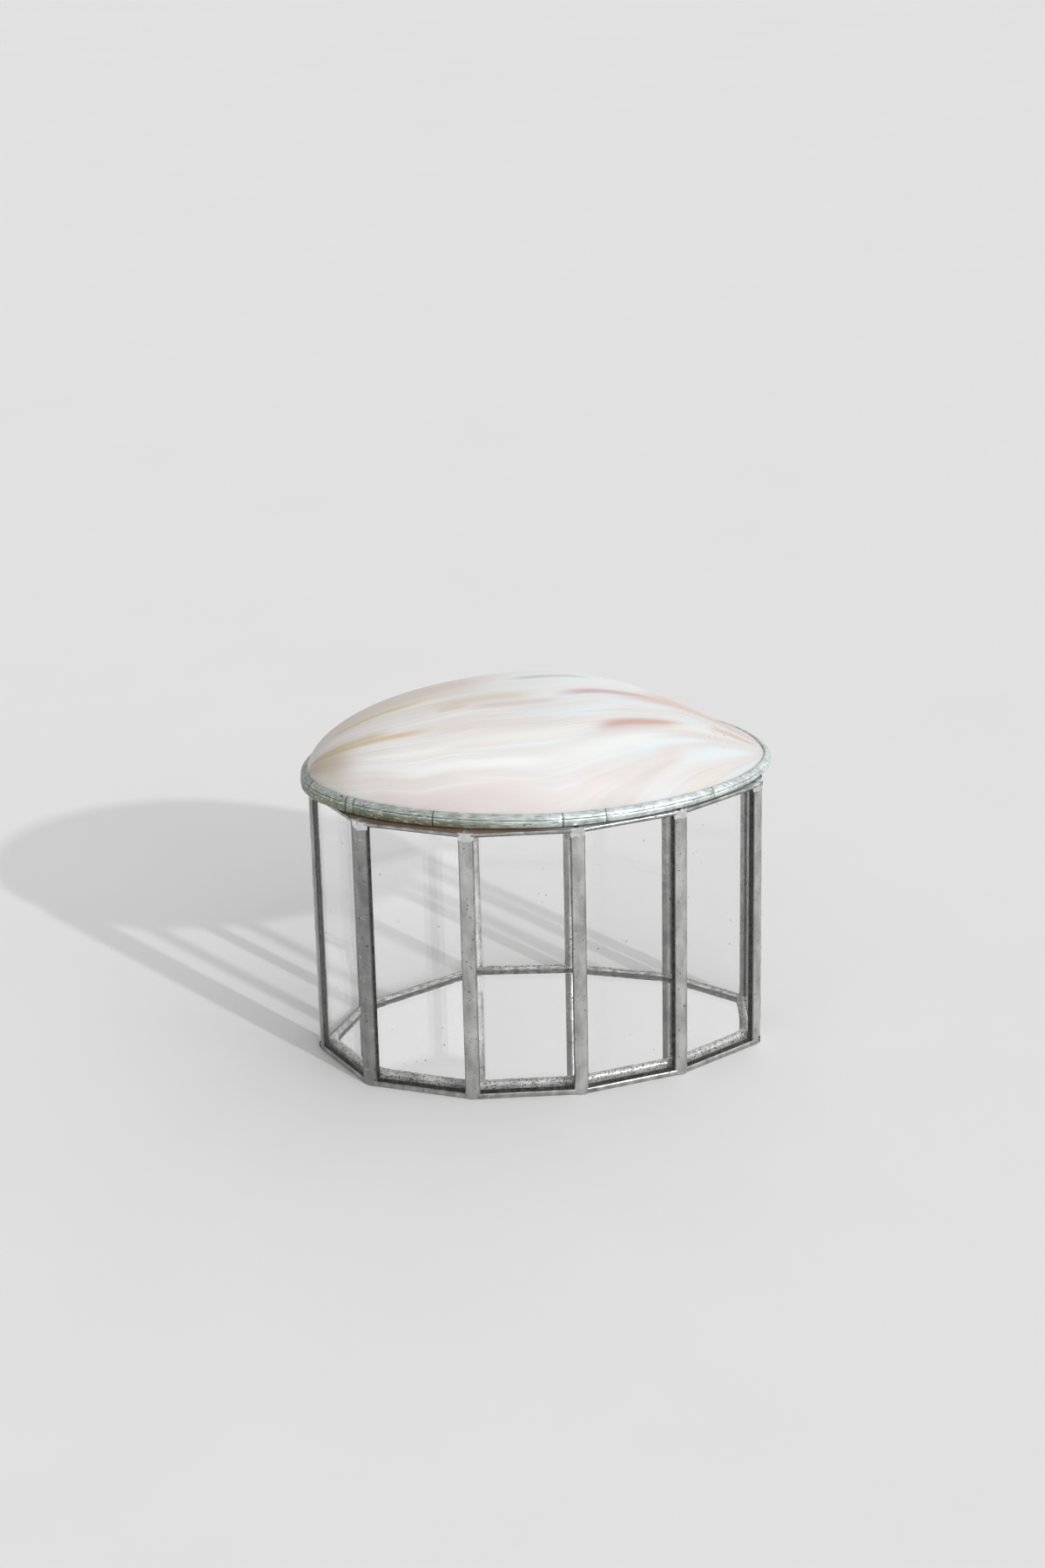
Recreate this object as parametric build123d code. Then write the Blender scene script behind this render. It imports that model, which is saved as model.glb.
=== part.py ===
from build123d import *
import os
from math import copysign, cos, hypot, radians, sin

# A seashell jewelry box in copper foil work: eleven clear panes stand round a mirror floor,
# and half a polished shell in a tinned rim is the lid, hinged along the back pane.
# Millimetres. X runs along the box, -Y is the front, +Z is up, and the box stands on z = 0.
# The origin lies below the middle of the whole object, and the hinge is parallel to X.

# Shell, measured at its ground edge. The box is made to fit it
shell_half_length = 60.1
shell_front_depth = 34.0
shell_back_depth = 39.8
shell_turn = 5.8
shell_centre = (0.0, -1.95)
shell_front_roundness = 1.85
shell_back_roundness = 2.0
shell_height = 22.1
shell_wall = 2.2
# The shell's edge stands upright up to this height above its ground face, at each end
edge_height_left = 2.8
edge_height_right = 1.5
inner_edge_drop = 1.0
# How the dome draws in with height, from its upright edge to its top
dome_power = 1.9
dome_root = 0.48
right_dome_power = 0.8
right_dome_root = 0.47

# Plan of the box: its outer glass corners lie near an oval that is turned a little against X
box_beyond_shell_length = -0.8
box_beyond_shell_depth = 1.0
box_beside_shell = -1.2
box_before_shell = 2.0
oval_turn = 4.4
# Each corner has its bearing on the oval in degrees, and how far it stands out of it
corners = {
    "left": (-179.6, -0.3),
    "front_left": (-140.6, 1.3),
    "front_middle_left": (-109.5, 1.0),
    "front_middle_right": (-81.9, 0.0),
    "front_right": (-52.5, -0.9),
    "right_front": (-19.0, 2.7),
    "right_back": (17.0, 3.3),
    "back_right": (47.8, -0.4),
    "hinge_right": (77.3, -1.0),
    "hinge_left": (103.8, 1.3),
    "back_left": (144.2, -2.0),
}
# The pane that follows each of those corners
pane_places = (
    "left_front",
    "front_left",
    "front",
    "front_right",
    "right_front",
    "right",
    "right_back",
    "back_right",
    "back_hinge",
    "back_left",
    "left",
)

# Walls
wall_height = 76.4
glass_thickness = 3.0
pane_end_gap = 0.35
top_tin_over_foil = 0.1
foil_thickness = 0.1
foil_lap = 1.05

# Solder of the box
seam_underside = 0.4
post_outer_crest = 0.75
post_inner_crest = 1.0
bottom_bead_proud = 0.55
bottom_bead_round = 0.3
top_tin_proud = 0.35
top_tin_height = 1.1
floor_seam_height = 1.2
floor_seam_width = 2.3
floor_seam_shoulder = 0.5

# Mirror floor
mirror_thickness = 1.9
backing_thickness = 0.1
mirror_edge_gap = 0.5
mirror_top_lap = 1.6

# Tinned rim of the lid
lid_gap = 0.2
rim_underside = 0.4
rim_bead = 1.8
rim_lip_inset = 2.6
rim_lip_rise = 1.4
rim_side_height_left = 2.2
rim_side_height_right = 1.2
rim_inner_bead = 0.6
rim_inner_height = 1.2
rim_foil_below_edge = 0.3

# Hinge
rod_diameter = 1.2
rod_clearance = 0.05
rod_to_bead_gap = 0.5
rod_bend_radius = 1.5
rod_leg_length = 13.0
leg_solder_length = 9.0
leg_solder_width = 2.0
leg_solder_bite = 0.5
tube_diameter = 2.4
tube_end_gap = 0.6
tube_to_rim_gap = 0.15
tube_solder_width = 1.8

# Smoothness of the shell: points in a quarter of an outline, and heights of its level curves
quarter_points = 6
shell_levels = (0.0, 0.15, 0.32, 0.5, 0.66, 0.79, 0.89, 0.955, 0.988, 0.998)

# Length that only makes a cutting solid reach past what it cuts
reach = 5.0


def turned(x, y, turn, centre):
    """A point of an oval's own frame, turned by an angle in degrees and moved to its centre."""
    c, s = cos(radians(turn)), sin(radians(turn))
    return (centre[0] + x * c - y * s, centre[1] + x * s + y * c)


def unit(start, end):
    """Direction from one plan point to another."""
    length = hypot(end[0] - start[0], end[1] - start[1])
    return ((end[0] - start[0]) / length, (end[1] - start[1]) / length)


def offset_corners(points, inward):
    """The corners of a closed outline after each side moves inwards by one distance."""
    moved = []
    for i, here in enumerate(points):
        before = unit(points[i - 1], here)
        after = unit(here, points[(i + 1) % len(points)])
        sum_x, sum_y = -before[1] - after[1], before[0] + after[0]
        share = inward / (1 + before[0] * after[0] + before[1] * after[1])
        moved.append((here[0] + share * sum_x, here[1] + share * sum_y))
    return moved


def upright(points, bottom, top):
    """A straight upright solid over a closed outline of plan points."""
    outline = Polyline(*[(x, y, bottom) for x, y in points], close=True)
    return extrude(make_face(outline), amount=top - bottom, dir=(0, 0, 1))


def save(name, solids):
    """Writes one sub-part. Several solids are one group of separate pieces."""
    shape = solids[0] if len(solids) == 1 else Compound(children=list(solids))
    export_step(shape, f"parts/{name}.step")


os.makedirs("parts", exist_ok=True)

# Plan outlines, counter-clockwise from the left end along the front
oval_half_length = shell_half_length + box_beyond_shell_length
oval_front_depth = shell_front_depth + box_beyond_shell_depth
oval_back_depth = shell_back_depth + box_beyond_shell_depth
oval_centre = (shell_centre[0] + box_beside_shell, shell_centre[1] - box_before_shell)
glass_outer = []
for bearing, outward in corners.values():
    along = (oval_half_length + outward) * cos(radians(bearing))
    oval_depth = oval_back_depth if bearing > 0 else oval_front_depth
    across = (oval_depth + outward) * sin(radians(bearing))
    glass_outer.append(turned(along, across, oval_turn, oval_centre))
# The hinge pane is parallel to X, at the mean depth of its two corners
corner_names = list(corners)
hinge_right = corner_names.index("hinge_right")
hinge_left = corner_names.index("hinge_left")
hinge_wall_y = (glass_outer[hinge_right][1] + glass_outer[hinge_left][1]) / 2
glass_outer[hinge_right] = (glass_outer[hinge_right][0], hinge_wall_y)
glass_outer[hinge_left] = (glass_outer[hinge_left][0], hinge_wall_y)
glass_inner = offset_corners(glass_outer, glass_thickness)
side_count = len(glass_outer)

# Faces of a foiled pane, measured out of its inner glass face
foil_inside = -foil_thickness
foil_outside = glass_thickness + foil_thickness

# Heights
glass_bottom = seam_underside + foil_thickness
glass_top = wall_height - top_tin_over_foil - foil_thickness
lap_top = glass_bottom + foil_lap
mirror_bottom = glass_bottom + backing_thickness
mirror_top = mirror_bottom + mirror_thickness
mirror_foil_top = mirror_top + foil_thickness
rim_bottom = wall_height + lid_gap
foil_base = rim_bottom + rim_underside
shell_base = foil_base + foil_thickness
shell_top = shell_base + shell_height


class Side:
    """One pane's place: its inner face from corner to corner, and its outward direction."""

    def __init__(self, i):
        self.start = glass_inner[i]
        self.end = glass_inner[(i + 1) % side_count]
        self.along = unit(self.start, self.end)
        self.out = (self.along[1], -self.along[0])
        self.length = hypot(self.end[0] - self.start[0], self.end[1] - self.start[1])

    def at(self, run, outward):
        """A plan point so far along the pane from its start and so far out of its inner face."""
        return (
            self.start[0] + run * self.along[0] + outward * self.out[0],
            self.start[1] + run * self.along[1] + outward * self.out[1],
        )

    def block(self, run, outward, bottom, top):
        """A box along this pane, from pairs of distances along it and out of it."""
        plan = [
            self.at(run[0], outward[0]),
            self.at(run[0], outward[1]),
            self.at(run[1], outward[1]),
            self.at(run[1], outward[0]),
        ]
        return upright(plan, bottom, top)

    def seam(self, section):
        """A seam along this pane with a section of (outward, height) points, mitred at its ends."""
        points = [(*self.at(-2 * reach, outward), height) for outward, height in section]
        face = make_face(Polyline(*points, close=True))
        length = self.length + 4 * reach
        strip = extrude(face, amount=length, dir=(*self.along, 0))
        i = sides.index(self)
        j = (i + 1) % side_count
        wedge = [mitre_inner[i], mitre_inner[j], mitre_outer[j], mitre_outer[i]]
        heights = [height for _, height in section]
        return strip & upright(wedge, min(heights) - reach, max(heights) + reach)


sides = [Side(i) for i in range(side_count)]
mitre_inner = offset_corners(glass_inner, reach)
mitre_outer = offset_corners(glass_inner, -2 * reach)

# Mirror floor: glass, silvering with its paint, and the foil round their edge
mirror_plan = offset_corners(glass_inner, mirror_edge_gap)
mirror_glass = upright(mirror_plan, mirror_bottom, mirror_top)
mirror_backing = upright(mirror_plan, mirror_bottom - backing_thickness, mirror_bottom)
save("mirror_glass", [mirror_glass])
save("mirror_backing", [mirror_backing])
mirror_foil_plan = offset_corners(glass_inner, mirror_edge_gap - foil_thickness)
mirror_foil = upright(mirror_foil_plan, seam_underside, mirror_foil_top)
mirror_foil -= mirror_glass + mirror_backing
underside_window = offset_corners(mirror_plan, foil_lap)
mirror_foil -= upright(underside_window, 0, mirror_bottom)
top_window = offset_corners(mirror_plan, mirror_top_lap)
mirror_foil -= upright(top_window, mirror_bottom, mirror_foil_top + reach)
save("mirror_foil", [mirror_foil.solid()])

# Panes, each with its foil: a channel over all four edges that laps onto both faces
for side, place in zip(sides, pane_places):
    ends = (pane_end_gap, side.length - pane_end_gap)
    pane = side.block(ends, (0, glass_thickness), glass_bottom, glass_top)
    wrapped_ends = (ends[0] - foil_thickness, ends[1] + foil_thickness)
    foil = side.block(
        wrapped_ends,
        (foil_inside, foil_outside),
        glass_bottom - foil_thickness,
        glass_top + foil_thickness,
    )
    window = side.block(
        (ends[0] + foil_lap, ends[1] - foil_lap),
        (foil_inside - reach, foil_outside + reach),
        lap_top,
        glass_top - foil_lap,
    )
    save(f"pane_{place}", [pane])
    save(f"foil_{place}", [(foil - pane - window).solid()])

# Corner posts: solder outside, in the gap between two foiled edges, and inside
posts = []
post_crests = []
under_mirror_foil = upright(mirror_foil_plan, -reach, mirror_foil_top)
for i in range(side_count):
    before, after = sides[i - 1], sides[i]
    edge_before = before.length - pane_end_gap + foil_thickness
    edge_after = pane_end_gap - foil_thickness
    lap_before = before.length - pane_end_gap - foil_lap
    lap_after = pane_end_gap + foil_lap
    outward = unit(glass_inner[i], glass_outer[i])
    gap_before = before.at(edge_before, foil_outside)
    gap_after = after.at(edge_after, foil_outside)
    crest_outer = (
        (gap_before[0] + gap_after[0]) / 2 + outward[0] * post_outer_crest,
        (gap_before[1] + gap_after[1]) / 2 + outward[1] * post_outer_crest,
    )
    crest_inner = (
        glass_inner[i][0] - outward[0] * post_inner_crest,
        glass_inner[i][1] - outward[1] * post_inner_crest,
    )
    outline = ThreePointArc(
        before.at(lap_before, foil_outside), crest_outer, after.at(lap_after, foil_outside)
    )
    outline += Polyline(
        after.at(lap_after, foil_outside),
        gap_after,
        after.at(edge_after, foil_inside),
        after.at(lap_after, foil_inside),
    )
    outline += ThreePointArc(
        after.at(lap_after, foil_inside), crest_inner, before.at(lap_before, foil_inside)
    )
    outline += Polyline(
        before.at(lap_before, foil_inside),
        before.at(edge_before, foil_inside),
        gap_before,
        before.at(lap_before, foil_outside),
    )
    post = extrude(make_face(outline), amount=wall_height, dir=(0, 0, 1))
    post = (post - under_mirror_foil).solid()
    save(f"post_{corner_names[i]}", [post])
    posts.append(post)
    post_crests.append(crest_outer)

# Seams along the panes, each cut by the two posts that it runs into
bottom_section = (
    (-mirror_edge_gap - foil_lap, 0),
    (foil_outside + bottom_bead_proud - bottom_bead_round, 0),
    (foil_outside + bottom_bead_proud, bottom_bead_round),
    (foil_outside + bottom_bead_proud, lap_top - bottom_bead_round),
    (foil_outside, lap_top),
    (foil_outside, seam_underside),
    (-mirror_edge_gap - foil_lap, seam_underside),
)
floor_seam_top = mirror_foil_top + floor_seam_height
floor_seam_end = -mirror_edge_gap - floor_seam_width
floor_section = (
    (foil_inside, seam_underside),
    (foil_inside, floor_seam_top),
    (-floor_seam_shoulder, floor_seam_top),
    (floor_seam_end, mirror_foil_top + foil_thickness),
    (floor_seam_end, mirror_top),
    (-mirror_edge_gap - mirror_top_lap, mirror_top),
    (-mirror_edge_gap - mirror_top_lap, mirror_foil_top),
    (-mirror_edge_gap + foil_thickness, mirror_foil_top),
    (-mirror_edge_gap + foil_thickness, seam_underside),
)
tin_bottom = wall_height - top_tin_over_foil - top_tin_height
tin_top = wall_height - top_tin_over_foil
outer_tin_section = (
    (foil_outside, tin_bottom),
    (foil_outside + top_tin_proud, tin_bottom),
    (foil_outside + top_tin_proud, tin_top),
    (foil_outside, tin_top),
)
inner_tin_section = (
    (foil_inside, tin_bottom),
    (foil_inside, tin_top),
    (foil_inside - top_tin_proud, tin_top),
    (foil_inside - top_tin_proud, tin_bottom),
)
seam_sections = {
    "bottom_seam": bottom_section,
    "floor_seam": floor_section,
    "top_tin_outside": outer_tin_section,
    "top_tin_inside": inner_tin_section,
}
for name, section in seam_sections.items():
    strips = []
    for i, side in enumerate(sides):
        strip = side.seam(section) - posts[i] - posts[(i + 1) % side_count]
        strips.append(max(strip.solids(), key=lambda solid: solid.volume))
    save(name, strips)

# Hinge: a rod with two bent legs beside the hinge posts, in a tube under the lid's rim
rod_radius = rod_diameter / 2
tube_radius = tube_diameter / 2
leg_left, leg_right = post_crests[hinge_left], post_crests[hinge_right]
bead_back = max(leg_left[1], leg_right[1])
axis_y = bead_back + rod_to_bead_gap + rod_radius
axis_z = rim_bottom - tube_to_rim_gap - tube_radius
leg_bottom = axis_z - rod_leg_length
rod_path = FilletPolyline(
    (leg_left[0], axis_y, leg_bottom),
    (leg_left[0], axis_y, axis_z),
    (leg_right[0], axis_y, axis_z),
    (leg_right[0], axis_y, leg_bottom),
    radius=rod_bend_radius,
)
rod_start = Plane(origin=(leg_left[0], axis_y, leg_bottom), z_dir=(0, 0, 1))
hinge_rod = sweep(rod_start * Circle(rod_radius), path=rod_path)
save("hinge_rod", [hinge_rod.solid()])

leg_solder = []
for crest, post in ((leg_left, posts[hinge_left]), (leg_right, posts[hinge_right])):
    plan = (
        (crest[0] - leg_solder_width / 2, crest[1] - leg_solder_bite),
        (crest[0] + leg_solder_width / 2, crest[1] - leg_solder_bite),
        (crest[0] + leg_solder_width / 2, axis_y),
        (crest[0] - leg_solder_width / 2, axis_y),
    )
    block = upright(plan, leg_bottom, leg_bottom + leg_solder_length) - post - hinge_rod
    leg_solder.append(max(block.solids(), key=lambda solid: solid.volume))
save("hinge_leg_solder", leg_solder)

tube_inset = rod_radius + rod_bend_radius + tube_end_gap
tube_start = leg_left[0] + tube_inset
tube_length = leg_right[0] - leg_left[0] - 2 * tube_inset
across_x = Plane(origin=(tube_start, axis_y, axis_z), z_dir=(1, 0, 0))
tube_outside = extrude(across_x * Circle(tube_radius), amount=tube_length)
bore = extrude(across_x * Circle(rod_radius + rod_clearance), amount=tube_length)
save("hinge_tube", [(tube_outside - bore).solid()])
solder_plan = (
    (tube_start, axis_y - tube_solder_width / 2),
    (tube_start + tube_length, axis_y - tube_solder_width / 2),
    (tube_start + tube_length, axis_y + tube_solder_width / 2),
    (tube_start, axis_y + tube_solder_width / 2),
)
tube_solder = upright(solder_plan, axis_z, rim_bottom) - tube_outside
save("hinge_tube_solder", [tube_solder.solid()])


def oval_wire(out, heights, lengths=(1, 1), depth=1.0, to_round=0.0):
    """A closed curve parallel to the shell's edge: out of it, and drawn in by shares.

    heights are its heights at the left and right end, lengths the shares of the left and right
    half length that are left, and to_round how far its two sides have turned to plain ovals.
    It is made of four quarters that meet in line.
    """
    longest = shell_half_length + out
    slope = (heights[1] - heights[0]) / 2 / longest
    middle = (heights[0] + heights[1]) / 2
    quarters = []
    for quarter in range(4):
        half_length = longest * lengths[1 if quarter in (0, 3) else 0]
        half_depth = ((shell_back_depth if quarter < 2 else shell_front_depth) + out) * depth
        roundness = shell_back_roundness if quarter < 2 else shell_front_roundness
        roundness += (2 - roundness) * to_round
        points = []
        for step in range(quarter_points + 1):
            angle = radians(90 * (quarter + step / quarter_points))
            c, s = round(cos(angle), 9), round(sin(angle), 9)
            x = copysign(half_length * abs(c) ** (2 / roundness), c)
            y = copysign(half_depth * abs(s) ** (2 / roundness), s)
            points.append(Vector(*turned(x, y, shell_turn, shell_centre), middle + slope * x))
        tangents = []
        for turn in (quarter, quarter + 1):
            x, y = turned(0, 1, 90 * turn, (0, 0))
            tangents.append(Vector(*turned(x, y, shell_turn, (0, 0)), slope * x))
        quarters.append(Edge.make_spline(points, tangents=tangents))
    return Wire(quarters)


def between(lower, upper):
    """A solid with straight sides from one closed curve up to another."""
    return Solid.make_loft([lower, upper], ruled=True)


def shell_body(out, drop):
    """The solid inside the shell's surface moved out, with its upright edge lowered by drop."""
    foot = oval_wire(out, (shell_base, shell_base))
    edge = (shell_base + edge_height_left - drop, shell_base + edge_height_right - drop)
    levels = []
    for share in shell_levels:
        left = (1 - share**dome_power) ** dome_root
        right = (1 - share**right_dome_power) ** right_dome_root
        heights = [height + share * (shell_top + out - height) for height in edge]
        levels.append(oval_wire(out, heights, (left, right), left, share))
    return between(foot, oval_wire(out, edge)) + Solid.make_loft(levels)


# Lid: the hollow shell, the foil round its ground edge, and the tinned rim over the foil
shell = shell_body(0, 0) - shell_body(-shell_wall, inner_edge_drop)
save("shell_dome", [shell.solid()])

foil_top = [
    shell_base + edge - inner_edge_drop - rim_foil_below_edge
    for edge in (edge_height_left, edge_height_right)
]
inner_foil = -shell_wall - foil_thickness
rim_foil = between(
    oval_wire(foil_thickness, (foil_base, foil_base)), oval_wire(foil_thickness, foil_top)
)
rim_foil -= between(
    oval_wire(inner_foil, (foil_base - reach, foil_base - reach)),
    oval_wire(inner_foil, [height + reach for height in foil_top]),
)
rim_foil = (rim_foil - shell).solid()
save("lid_rim_foil", [rim_foil])

side_top = (rim_bottom + rim_side_height_left, rim_bottom + rim_side_height_right)
lip_top = [height + rim_lip_rise for height in side_top]
rim = between(oval_wire(rim_bead, (rim_bottom, rim_bottom)), oval_wire(rim_bead, side_top))
rim += between(oval_wire(rim_bead, side_top), oval_wire(rim_bead - rim_lip_inset, lip_top))
rim = rim - shell - rim_foil
inner_face = inner_foil - rim_inner_bead
rim -= between(
    oval_wire(inner_face, (rim_bottom - reach, rim_bottom - reach)),
    oval_wire(inner_face, (shell_top, shell_top)),
)
mid_wall = -shell_wall / 2
inner_bead_top = rim_bottom + rim_inner_height
rim -= between(
    oval_wire(mid_wall, (inner_bead_top, inner_bead_top)),
    oval_wire(mid_wall, (shell_top, shell_top)),
)
save("lid_rim", [max(rim.solids(), key=lambda solid: solid.volume)])
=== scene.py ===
from math import copysign, cos, exp, pi, radians, sin, tau
from random import Random

import bpy
from mathutils import Matrix, Vector


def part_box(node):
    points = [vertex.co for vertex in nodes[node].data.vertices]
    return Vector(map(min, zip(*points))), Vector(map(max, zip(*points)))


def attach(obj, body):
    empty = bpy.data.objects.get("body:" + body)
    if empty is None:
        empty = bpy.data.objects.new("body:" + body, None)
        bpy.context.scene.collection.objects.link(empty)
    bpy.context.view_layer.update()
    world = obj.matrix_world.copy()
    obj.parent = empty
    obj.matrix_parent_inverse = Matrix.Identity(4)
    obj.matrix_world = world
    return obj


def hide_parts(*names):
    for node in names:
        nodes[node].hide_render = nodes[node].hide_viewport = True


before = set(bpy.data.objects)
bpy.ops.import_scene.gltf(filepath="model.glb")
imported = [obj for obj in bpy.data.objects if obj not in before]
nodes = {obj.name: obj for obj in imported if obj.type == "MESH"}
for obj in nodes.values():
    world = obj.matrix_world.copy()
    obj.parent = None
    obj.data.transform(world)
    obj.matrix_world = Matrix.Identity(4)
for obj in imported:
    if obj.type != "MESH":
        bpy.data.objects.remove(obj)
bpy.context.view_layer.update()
MM = 0.001  # one millimetre in the scene's metres

# Camera. A long lens looks down on the front of the box, as in the photograph.
# The camera is held a little out of level.


def new_object(name, data):
    """An object in the scene that shows its data."""
    thing = bpy.data.objects.new(name, data)
    bpy.context.scene.collection.objects.link(thing)
    return thing


camera_place = (-3.93 * MM, -835.338 * MM, 444.05 * MM)
camera_tilt = radians(24.0)
camera_roll = radians(-1.283)
camera_data = bpy.data.cameras.new("camera")
camera_data.sensor_fit = "VERTICAL"
sensor_height = 36.0
focal_pixels = 3994.48
photo_rows = 1800
camera_data.sensor_height = sensor_height
camera_data.lens = focal_pixels * sensor_height / photo_rows
camera_data.clip_start = 0.02
camera_data.clip_end = 20.0
camera = new_object("camera", camera_data)
level_side = Vector((1, 0, 0))
level_up = Vector((0, sin(camera_tilt), cos(camera_tilt)))
ahead = Vector((0, cos(camera_tilt), -sin(camera_tilt)))
side = cos(camera_roll) * level_side + sin(camera_roll) * level_up
up = cos(camera_roll) * level_up - sin(camera_roll) * level_side
camera.matrix_world = Matrix.Translation(camera_place) @ Matrix((side, up, -ahead)).transposed().to_4x4()
bpy.context.scene.camera = camera
bpy.context.scene.view_settings.view_transform = "Standard"

# Studio floor and light. A matt white floor, one lamp at the front right that throws the soft
# shadow to the back left, and a white room that is brighter on the right than on the left.


def linear(colour):
    """An sRGB hex colour as linear red, green and blue with a full alpha."""
    parts = [int(colour[i : i + 2], 16) / 255 for i in (1, 3, 5)]
    return tuple(c / 12.92 if c <= 0.04045 else ((c + 0.055) / 1.055) ** 2.4 for c in parts) + (1.0,)


def feed(tree, node, values):
    """Sets a node's inputs. A value is a plain value, a hex colour, a socket, or a node, which
    stands for its first output in use."""
    for key, value in values.items():
        socket = next(s for i, s in enumerate(node.inputs) if s.enabled and key in (i, s.name))
        if isinstance(value, bpy.types.Node):
            value = next(output for output in value.outputs if output.enabled)
        if isinstance(value, bpy.types.NodeSocket):
            tree.links.new(value, socket)
            continue
        is_colour = isinstance(value, str) and value.startswith("#")
        socket.default_value = linear(value) if is_colour else value


def add(tree, kind, values=None, operation=None, **settings):
    """Adds a node with its operation, if it has one, its other settings and its links. Shader
    nodes go by their kind without its prefix."""
    node = tree.nodes.new(kind if "Node" in kind else "ShaderNode" + kind)
    if operation:
        node.operation = operation
    for name, setting in settings.items():
        setattr(node, name, setting)
    feed(tree, node, values or {})
    return node


def new_material(name, values):
    """A material with one Principled shader, its tree, and the piece's own coordinates. values
    are those of the shader's uniform sockets."""
    material = bpy.data.materials.new(name)
    material.use_nodes = True
    tree = material.node_tree
    tree.nodes.clear()
    shader = add(tree, "BsdfPrincipled", values)
    add(tree, "OutputMaterial", {"Surface": shader})
    return material, tree, shader, add(tree, "TexCoord").outputs["Object"]


def new_mesh(name, points, faces):
    """A mesh of points, and of faces that give their points by number."""
    mesh = bpy.data.meshes.new(name)
    mesh.from_pydata(points, [], faces)
    return mesh


floor_half = 4.0
floor_corners = [(-floor_half, -floor_half, 0), (floor_half, -floor_half, 0)]
floor_corners += [(floor_half, floor_half, 0), (-floor_half, floor_half, 0)]
floor_mesh = new_mesh("studio_floor", floor_corners, [(0, 1, 2, 3)])
floor = new_object("studio_floor", floor_mesh)
# Matt white paper: the faint mottling of its tone is all that shows
paper, tree, shader, place = new_material("matt_white_paper", {"Roughness": 1.0, "Specular IOR Level": 0.0})
mottle = add(tree, "TexNoise", {"Vector": place, "Scale": 1 / (60 * MM), "Detail": 3.0})
tone = add(tree, "Mix", {"Factor": mottle, "A": "#DEDEDE", "B": "#E2E2E2"}, data_type="RGBA")
feed(tree, shader, {"Base Color": tone})
floor_mesh.materials.append(paper)

lamp_data = bpy.data.lights.new("front_right_lamp", "SUN")
lamp_data.energy = 1.16
lamp_data.angle = radians(1.4)
lamp = new_object("front_right_lamp", lamp_data)
towards_lamp = Vector((0.600, -0.665, 0.480))
lamp.rotation_euler = towards_lamp.to_track_quat("Z", "Y").to_euler()

world = bpy.data.worlds.new("white_room")
bpy.context.scene.world = world
world.use_nodes = True
tree = world.node_tree
tree.nodes.clear()
room_dark_side = 0.4
room_bright_side = 1.13
direction = add(tree, "TexCoord").outputs["Generated"]
rightness = add(tree, "SeparateXYZ", {0: direction}).outputs["X"]
sides = {0: rightness, 1: -0.5, 2: 0.5, 3: room_dark_side, 4: room_bright_side}
level = add(tree, "MapRange", sides, interpolation_type="SMOOTHSTEP")
# A large diffuser hangs round the lamp
softbox = 0.6
near_lamp = add(tree, "VectorMath", {0: direction, 1: tuple(towards_lamp.normalized())}, "DOT_PRODUCT")
panel = {0: near_lamp, 1: 0.8, 2: 0.92, 3: 0.0, 4: softbox}
panel = add(tree, "MapRange", panel, interpolation_type="SMOOTHSTEP")
total = add(tree, "Math", {0: level, 1: panel}, "ADD")
room = add(tree, "Background", {"Color": (1.0, 1.0, 1.0, 1.0), "Strength": total})
add(tree, "OutputWorld", {"Surface": room})

# Mirror floor of the box: a sheet of mirror glass, silvered underneath, with copper foil folded
# round its edge. The posts show again in it, upside down.


def lets_lamps_through(tree, shader, tint):
    """Lets light reach what is behind glass: the shader gives way to a tinted gap for a shadow ray,
    and for a diffuse ray, so that no light counts twice."""
    gap = add(tree, "BsdfTransparent", {"Color": tint})
    rays = add(tree, "LightPath").outputs
    passes = add(tree, "Math", {0: rays["Is Shadow Ray"], 1: rays["Is Diffuse Ray"]}, "MAXIMUM")
    mix = add(tree, "MixShader", {0: passes, 1: shader, 2: gap})
    output = next(node for node in tree.nodes if node.type == "OUTPUT_MATERIAL")
    feed(tree, output, {"Surface": mix})


# Float glass is clear and smooth as it comes off the bath: faint smears are all that roughens it
float_glass, tree, shader, place = new_material(
    "float_glass_polished", {"Base Color": "#FFFFFF", "IOR": 1.5, "Transmission Weight": 1.0}
)
smears = add(tree, "TexNoise", {"Vector": place, "Scale": 1 / (14 * MM), "Detail": 4.0, "Roughness": 0.6})
rough = add(tree, "MapRange", {0: smears, 1: 0.45, 2: 0.75, 3: 0.0, 4: 0.035})
feed(tree, shader, {"Roughness": rough})
lets_lamps_through(tree, shader, "#FDFDFD")
# Silver behind glass is an even mirror, and a few spots of it have gone dull
silvering, tree, shader, place = new_material(
    "mirror_silver_wet_deposited", {"Metallic": 1.0, "Base Color": "#FAFAFA"}
)
dull = add(tree, "TexNoise", {"Vector": place, "Scale": 1 / (9 * MM), "Detail": 5.0, "Roughness": 0.7})
rough = add(tree, "MapRange", {0: dull, 1: 0.6, 2: 0.8, 3: 0.0, 4: 0.12})
feed(tree, shader, {"Roughness": rough})
# Copper foil is rolled and soft. It is burnished by hand, so it is brown with a dull, creased shine
copper_foil, tree, shader, place = new_material("copper_foil_burnished", {"Metallic": 0.6})
at = add(tree, "SeparateXYZ", {0: place})
creases = add(
    tree, "TexNoise", {"Vector": place, "Scale": 1 / (1.6 * MM), "Detail": 5.0, "Roughness": 0.65}
)
stains = add(tree, "TexNoise", {"Vector": place, "Scale": 1 / (7 * MM), "Detail": 3.0})
# Below the top edge the foil shows its blackened adhesive side through the glass
crease_share = add(tree, "MapRange", {0: creases, 1: 0.42, 2: 0.62})
blackened = add(tree, "Mix", {"Factor": crease_share, "A": "#343331", "B": "#6C6A67"}, data_type="RGBA")
bare = add(tree, "Mix", {"Factor": stains, "A": "#7C604C", "B": "#A98D73"}, data_type="RGBA")
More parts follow.
